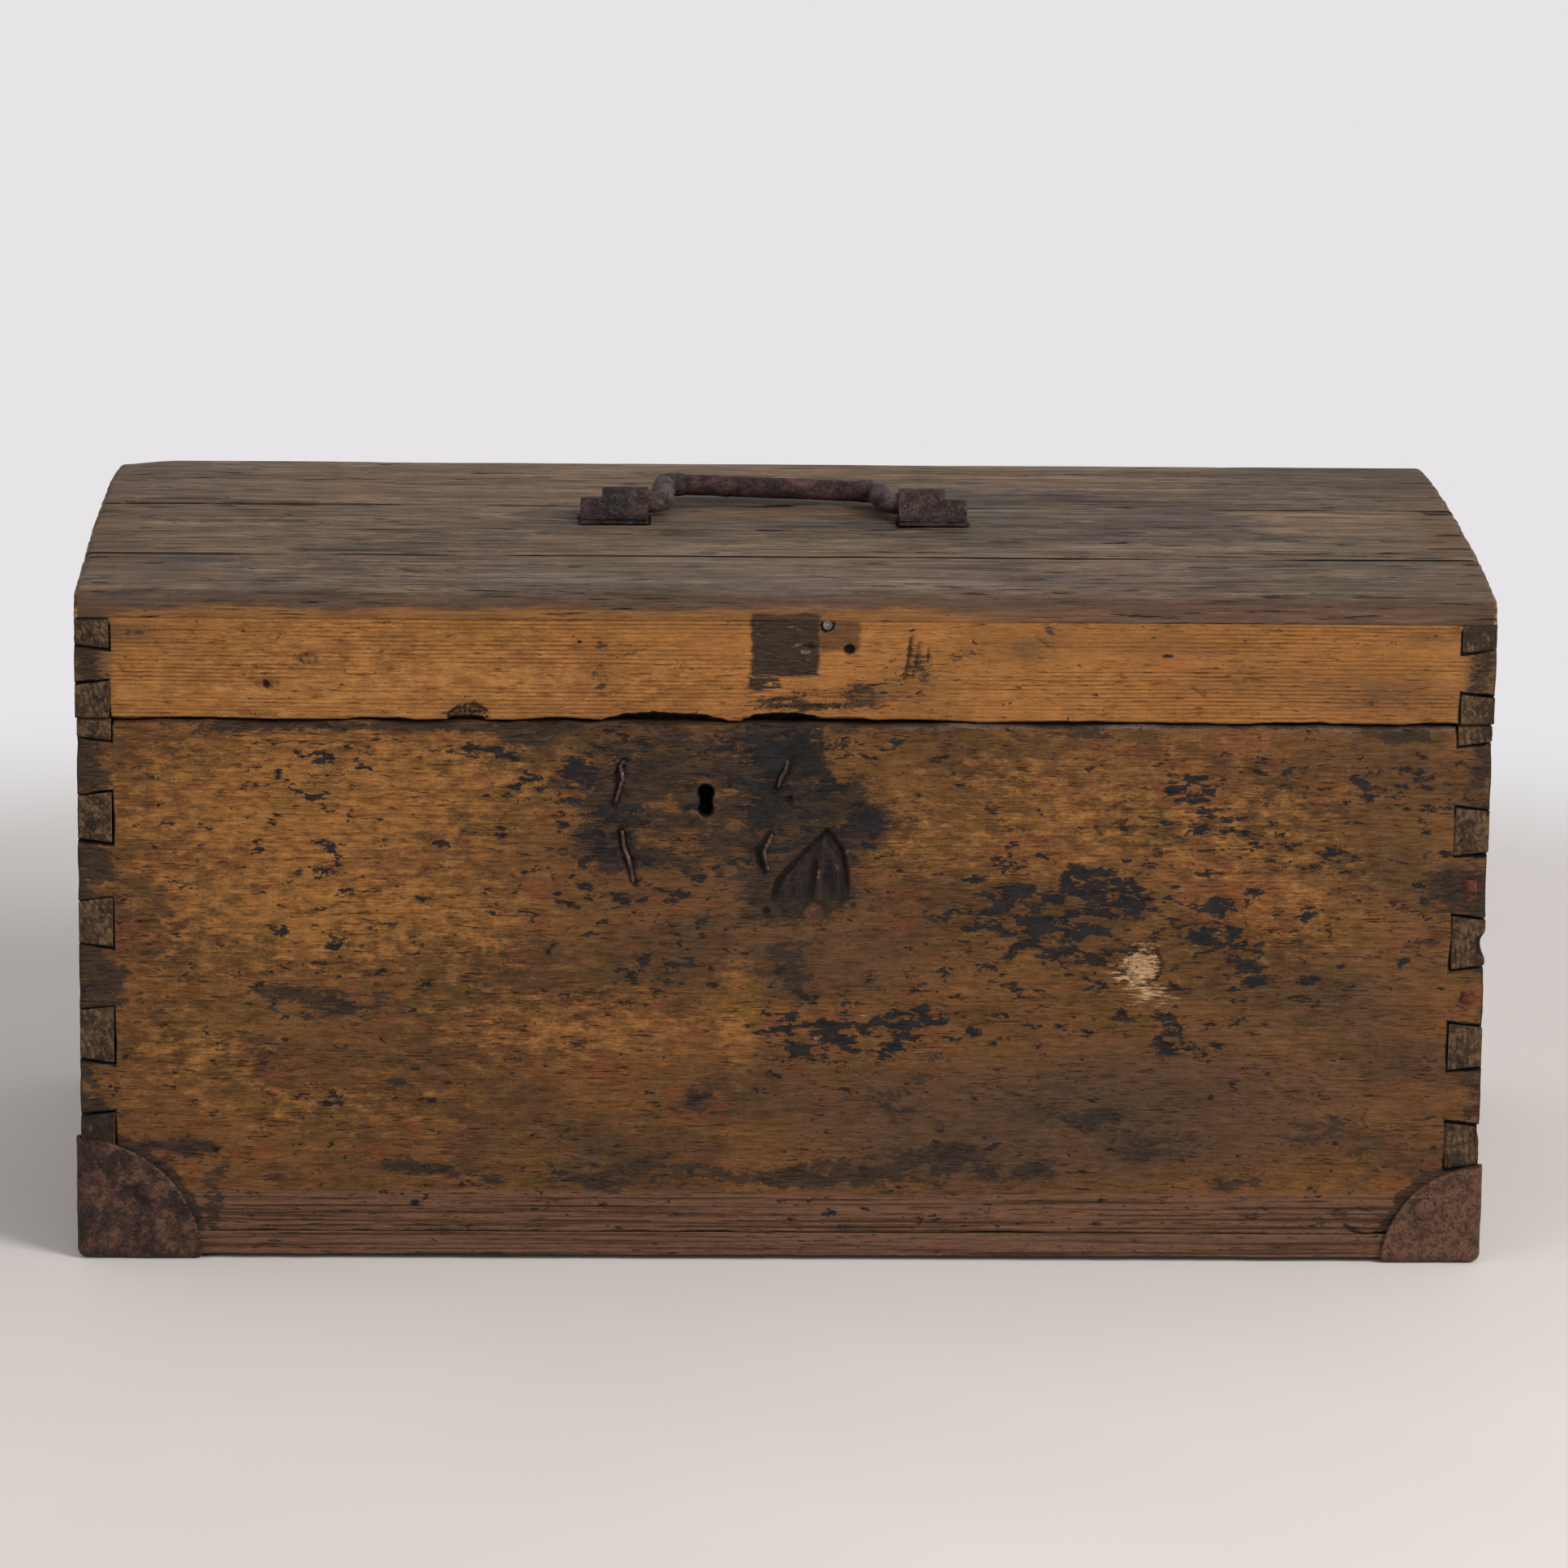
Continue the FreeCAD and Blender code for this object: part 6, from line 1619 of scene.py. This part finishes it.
# %% Weathered top
def brown_edge(r, colour):
    """The lid's top: long bands of grey and brown, fine open lines, the front edge where
    hands keep the grey off, the hasp's mark on it, and the orange line beside a seam,
    partly fresh wood and partly a painted highlight."""
    band = r.noise((3.2, 24, 24), 7, 0.72)
    colour = r.varied(colour, band, 0.40, 0.60, 0.84, 1.13)
    ochre = r.noise(r.vector(r.add(r.times(r.x, 3.4), 7.1), r.times(r.y, 30), r.times(r.z, 30)), 6, 0.72)
    ochre_tone = r.varied((120, 90, 66), r.streak, 0.38, 0.62, 0.8, 1.15)
    colour = r.blend(r.step(ochre, 0.53, 0.64, 0, 0.5), colour, ochre_tone)
    long_hills = r.noise((13, 150, 150), 5, 0.72)
    colour = r.varied(colour, long_hills, 0.40, 0.60, 0.80, 1.17)
    colour = r.varied(colour, r.noise((22, 420, 420), 4, 0.7), 0.42, 0.58, 0.86, 1.12)
    open_line = r.step(r.noise((12, 260, 260), 5, 0.66), 0.585, 0.635)
    open_line = r.times(open_line, r.step(band, 0.58, 0.48, 0.35, 1))
    colour = r.blend(r.times(open_line, 0.75), colour, (46, 37, 31))
    ragged = r.less(r.noise((26, 60, 160), 6, 0.72), 0.5)
    edge = r.add(r.z, r.times(ragged, 0.016))
    near = r.on_front()
    front = r.times(r.step(edge, 0.3325, 0.3380, 1, 0), near)
    warm = r.step(r.add(r.x, r.times(ragged, 0.3)), 0.02, 0.20, 1, 0)
    tone = r.blend(warm, (102, 76, 61), (136, 92, 51))
    outer = r.step(r.add(r.math("ABSOLUTE", r.x), r.times(ragged, 0.06)), 0.318, 0.342, 0, 0.85)
    tone = r.varied(r.blend(outer, tone, (68, 51, 40)), r.streak, 0.38, 0.62, 0.72, 1.22)
    colour = r.blend(r.times(front, 0.95), colour, tone)
    above = r.times(r.step(edge, 0.3325, 0.3360), r.step(edge, 0.3395, 0.3435, 1, 0))
    above_tone = r.varied((86, 64, 52), r.streak, 0.38, 0.62, 0.7, 1.2)
    colour = r.blend(r.times(r.times(above, near), 0.7), colour, above_tone)
    ends = r.step(r.add(r.math("ABSOLUTE", r.x), r.sway(r.cloud, 0.12)), 0.27, 0.36)
    colour = r.blend(r.times(ends, 0.4), colour, (98, 76, 58))
    hasp = r.times(r.patch(-18, 16, 320, 332.6), near)
    hasp_tone = r.varied((50, 41, 36), r.streak, 0.35, 0.65, 0.7, 1.25)
    colour = r.blend(r.times(hasp, 0.85), colour, hasp_tone)
    # The orange line beside a seam: fresh wood and a painted highlight.
    return r.blend(r.times(r.mark("worn_edge_highlight"), 0.75), colour, (148, 110, 80))


pine_lid_top = pine("pine_lid_top_weathered", 0, ((116, 98, 84), (66, 54, 46), (94, 82, 73), (126, 104, 84)),
                    (200, 180), 4.5, slits=1.0, contrast=0.8, extra=brown_edge, grime_tone=(54, 46, 41),
                    squeeze=0.3, flow=2.6, clean=0.05, hue=0.3)
print("pine recipes:", [m.name for m in bpy.data.materials if m.name.startswith("pine")][:8])


# %% [markdown]
# ## Old iron
#
# Rust on thin sheet that is handled a lot is dark and smooth, nearly purple, with redder
# clouds and small bright scratches. In corners it is rough and black. The corner on the
# right has lost more of its dark skin than the one on the left.


# %% Iron recipe
def iron(name, dark, warm, pale, specks=0.4, right_shift=0.0, rough_low=0.5, black=0.5):
    """Rusty iron: dark skin, warm clouds of rust, pale worn edges and fine specks."""
    r = Recipe(name)
    cloud = r.noise((85, 85, 85), 7, 0.72)
    fine = r.noise((420, 420, 420), 5, 0.72)
    pits = r.step(r.noise((900, 900, 900), 2, 0.6), 0.58, 0.68)
    share = r.step(cloud, 0.38, 0.66)
    if right_shift:
        share = r.math("MINIMUM", r.add(share, r.step(r.x, -0.1, 0.1, 0, right_shift)), 1.0)
    colour = r.blend(share, dark, warm)
    scale = r.step(r.noise((190, 190, 190), 7, 0.76), 0.50, 0.60)
    colour = r.blend(r.times(scale, black), colour, tinted(dark, 0.62))
    colour = r.blend(r.step(fine, 0.54, 0.72, 0, specks), colour, pale)
    colour = r.blend(r.times(pits, 0.7), colour, tinted(dark, 0.4))
    # Darker where the mark hollow is: oxide in the bail's hollows, dirt and dark rings round nails on sheet iron,
    # and painted shade for the straps' torn holes.
    hollow = r.step(r.mark("hollow"), 0.1, 0.8)
    colour = r.blend(r.times(hollow, 0.6), colour, tinted(dark, 0.5))
    worn = r.times(r.mark("edge_wear"), r.step(fine, 0.42, 0.62))
    colour = r.blend(r.times(worn, 0.55), colour, pale)
    rubbed = r.step(r.add(r.times(cloud, 0.6), r.times(fine, 0.4)), 0.42, 0.62, 0.05, 0.55)
    colour = r.blend(r.times(r.mark("elbow"), rubbed), colour, (112, 101, 94))
    height = r.add(r.times(fine, 0.9), r.times(pits, -0.8))
    height = r.add(r.add(height, r.times(cloud, 0.8)), r.times(scale, 0.5))
    metal = r.times(r.step(fine, 0.5, 0.8), 0.2)
    return r.finish(colour, r.add(r.times(fine, 0.3), rough_low), height, 0.5, metal, 0.22)


iron_corners = iron("iron_corners_rusted", (43, 28, 25), (97, 66, 49), (126, 96, 74), 0.4, 0.75, 0.42)
iron_handle = iron("iron_handle_rusted", (48, 34, 32), (92, 62, 56), (118, 100, 92), 0.4)
iron_straps = iron("iron_straps_rusted", (40, 34, 32), (70, 51, 46), (116, 104, 98), 0.45, 0.45, 0.5, 0.6)
iron_hinges = iron("iron_hinges_rusted", (48, 38, 34), (80, 54, 40), (96, 76, 62), 0.35)
iron_lock = iron("iron_lock_rusted", (50, 44, 41), (82, 62, 50), (110, 98, 88), 0.4)
iron_nails = iron("iron_nails_rusted", (36, 27, 25), (72, 48, 39), (122, 98, 86), 0.35)
iron_clinched = iron("iron_clinched_nails_rubbed", (60, 42, 38), (106, 79, 71), (182, 162, 152),
                     0.7, 0.0, 0.40, 0.25)
iron_old_nail = iron("iron_old_nail_bright", (92, 84, 78), (124, 108, 96), (206, 196, 186),
                     0.9, 0.0, 0.3, 0.2)
iron_red_nail = iron("iron_red_nail_rusted", (74, 36, 26), (108, 58, 40), (122, 78, 58), 0.3, 0.0, 0.5, 0.3)

# %% [markdown]
# ## Dress every piece
#
# New pieces get their own finish. The solids that stay, such as the corners, straps,
# nails, hinges and the lock, get the finish of the material slot that they belong to.

# %% Put the finishes on
own_finish = {
    "body_front": pine_front, "body_left_end": pine_end, "body_right_end": pine_end, "body_back": pine_back,
    "bottom_": pine_bottom, "lid_front": pine_lid_front, "lid_left_end": pine_lid_end,
    "lid_right_end": pine_lid_end, "lid_back": pine_lid_end, "lid_top_": pine_lid_top,
    "bail_forged": iron_handle, "lock_nails_clinched": iron_clinched, "lid_nails_sunk": iron_nails,
    "corner_": iron_corners, "strap_": iron_straps, "hinge_": iron_hinges, "lock_plate": iron_lock,
    "lock_case": iron_lock}
slot_finish = {
    "iron_corners": iron_corners, "iron_handle": iron_handle, "iron_hinges": iron_hinges,
    "iron_lock": iron_lock, "iron_nails": iron_nails, "pine_walls": pine_end, "pine_lid_walls": pine_lid_end,
    "pine_lid_top": pine_lid_top, "pine_bottom": pine_bottom, "old_nail": iron_old_nail,
    "red_nail": iron_red_nail}
for name, thing in made.items():
    thing.data.materials.append(next(own_finish[start] for start in own_finish if name.startswith(start)))
node_slots = {part["node"]: part["material_slot"] for part in frame["record"]["subparts"]}
node_slots.update(lid_old_nail="old_nail", corner_joint_nails="red_nail", corner_cap_nails="iron_corners")
for name, thing in frame["nodes"].items():
    finish = slot_finish[node_slots[name]]
    for slot in thing.material_slots:
        slot.material = finish
print("solids by slot:", {s: sum(v == s for v in node_slots.values()) for s in set(node_slots.values())})

# %% [markdown]
# ## Floor, light and camera
#
# The chest stands on a plain pale floor that turns white behind it. One large soft lamp
# stands to the right of the camera and high, so shadows fall softly to the left, and the
# white sky fills the rest. The lamps are set so that a colour comes out about as written.


# %% Floor
def floor_sheet(half):
    """A flat square on the ground."""
    corners = np.array(((-half, -half, 0), (half, -half, 0), (half, half, 0), (-half, half, 0)), float)
    mesh = bpy.data.meshes.new("pale_floor")
    mesh.from_pydata(corners.tolist(), [], [(0, 1, 2, 3)])
    floor = bpy.data.objects.new("pale_floor", mesh)
    bpy.context.scene.collection.objects.link(floor)
    return floor


floor = floor_sheet(9.0)
paint = Recipe("pale_floor_paint")
around = paint.math("SQRT", paint.add(paint.times(paint.x, paint.x), paint.times(paint.y, paint.y)))
far = paint.step(around, 0.80, 1.20)
mottle = paint.noise((3, 3, 3), 3, 0.5)
near_tone = paint.blend(mottle, (220, 211, 205), (232, 225, 220))
paint.finish(paint.blend(far, near_tone, (238, 236, 238)), 0.7, mottle, 0.1)
seen = paint.nodes.new("ShaderNodeLightPath")
white = paint.nodes.new("ShaderNodeEmission")
white.inputs["Color"].default_value = shade(231, 228, 231)
mix = paint.nodes.new("ShaderNodeMixShader")
rays = [seen.outputs[kind] for kind in ("Is Camera Ray", "Is Glossy Ray", "Is Transmission Ray")]
paint.put(paint.times(far, paint.most(paint.most(rays[0], rays[1]), rays[2])), mix.inputs[0])
paint.links.new(paint.surface.outputs[0], mix.inputs[1])
paint.links.new(white.outputs[0], mix.inputs[2])
paint.links.new(mix.outputs[0], next(n for n in paint.nodes if n.type == "OUTPUT_MATERIAL").inputs[0])
floor.data.materials.append(paint.material)


# %% Light
def lamp(name, place, target, size, power):
    """A square lamp that faces a point."""
    light = bpy.data.lights.new(name, "AREA")
    light.size, light.energy = size, power
    thing = bpy.data.objects.new(name, light)
    thing.location = place
    thing.rotation_euler = (Vector(target) - Vector(place)).to_track_quat("-Z", "Y").to_euler()
    bpy.context.scene.collection.objects.link(thing)


lamp("window_right", (2.3, -2.2, 2.2), (0, 0, 0.2), 1.3, 95)
lamp("fill_left", (-2.6, -2.6, 1.4), (0, 0, 0.2), 2.0, 16)
sky = bpy.data.worlds.new("pale_sky")
bpy.context.scene.world = sky
sky.use_nodes = True
background = sky.node_tree.nodes["Background"]
background.inputs["Color"].default_value = (0.97, 0.98, 1.0, 1)
background.inputs["Strength"].default_value = 0.55


# %% Camera
def camera_at(place, target, roll_degrees, lens):
    """A camera that looks at a target, rolled a little about its view."""
    data = bpy.data.cameras.new("studio_camera")
    data.lens, data.sensor_width = lens, 36
    camera = bpy.data.objects.new("studio_camera", data)
    forward = (Vector(target) - Vector(place)).normalized()
    right = forward.cross(Vector((0, 0, 1))).normalized()
    up = right.cross(forward)
    roll = math.radians(roll_degrees)
    rolled_right = right * math.cos(roll) + up * math.sin(roll)
    rolled_up = up * math.cos(roll) - right * math.sin(roll)
    turned = Matrix((rolled_right, rolled_up, -forward)).transposed().to_4x4()
    camera.matrix_world = Matrix.Translation(Vector(place)) @ turned
    bpy.context.scene.collection.objects.link(camera)
    bpy.context.scene.camera = camera


camera_place, camera_target = (-0.0937, -3.7210, 1.0738), (-0.0008, -0.1770, 0.24635)
camera_at(camera_place, camera_target, roll_degrees=0.64, lens=168.7)
bpy.context.scene.view_settings.view_transform = "Standard"
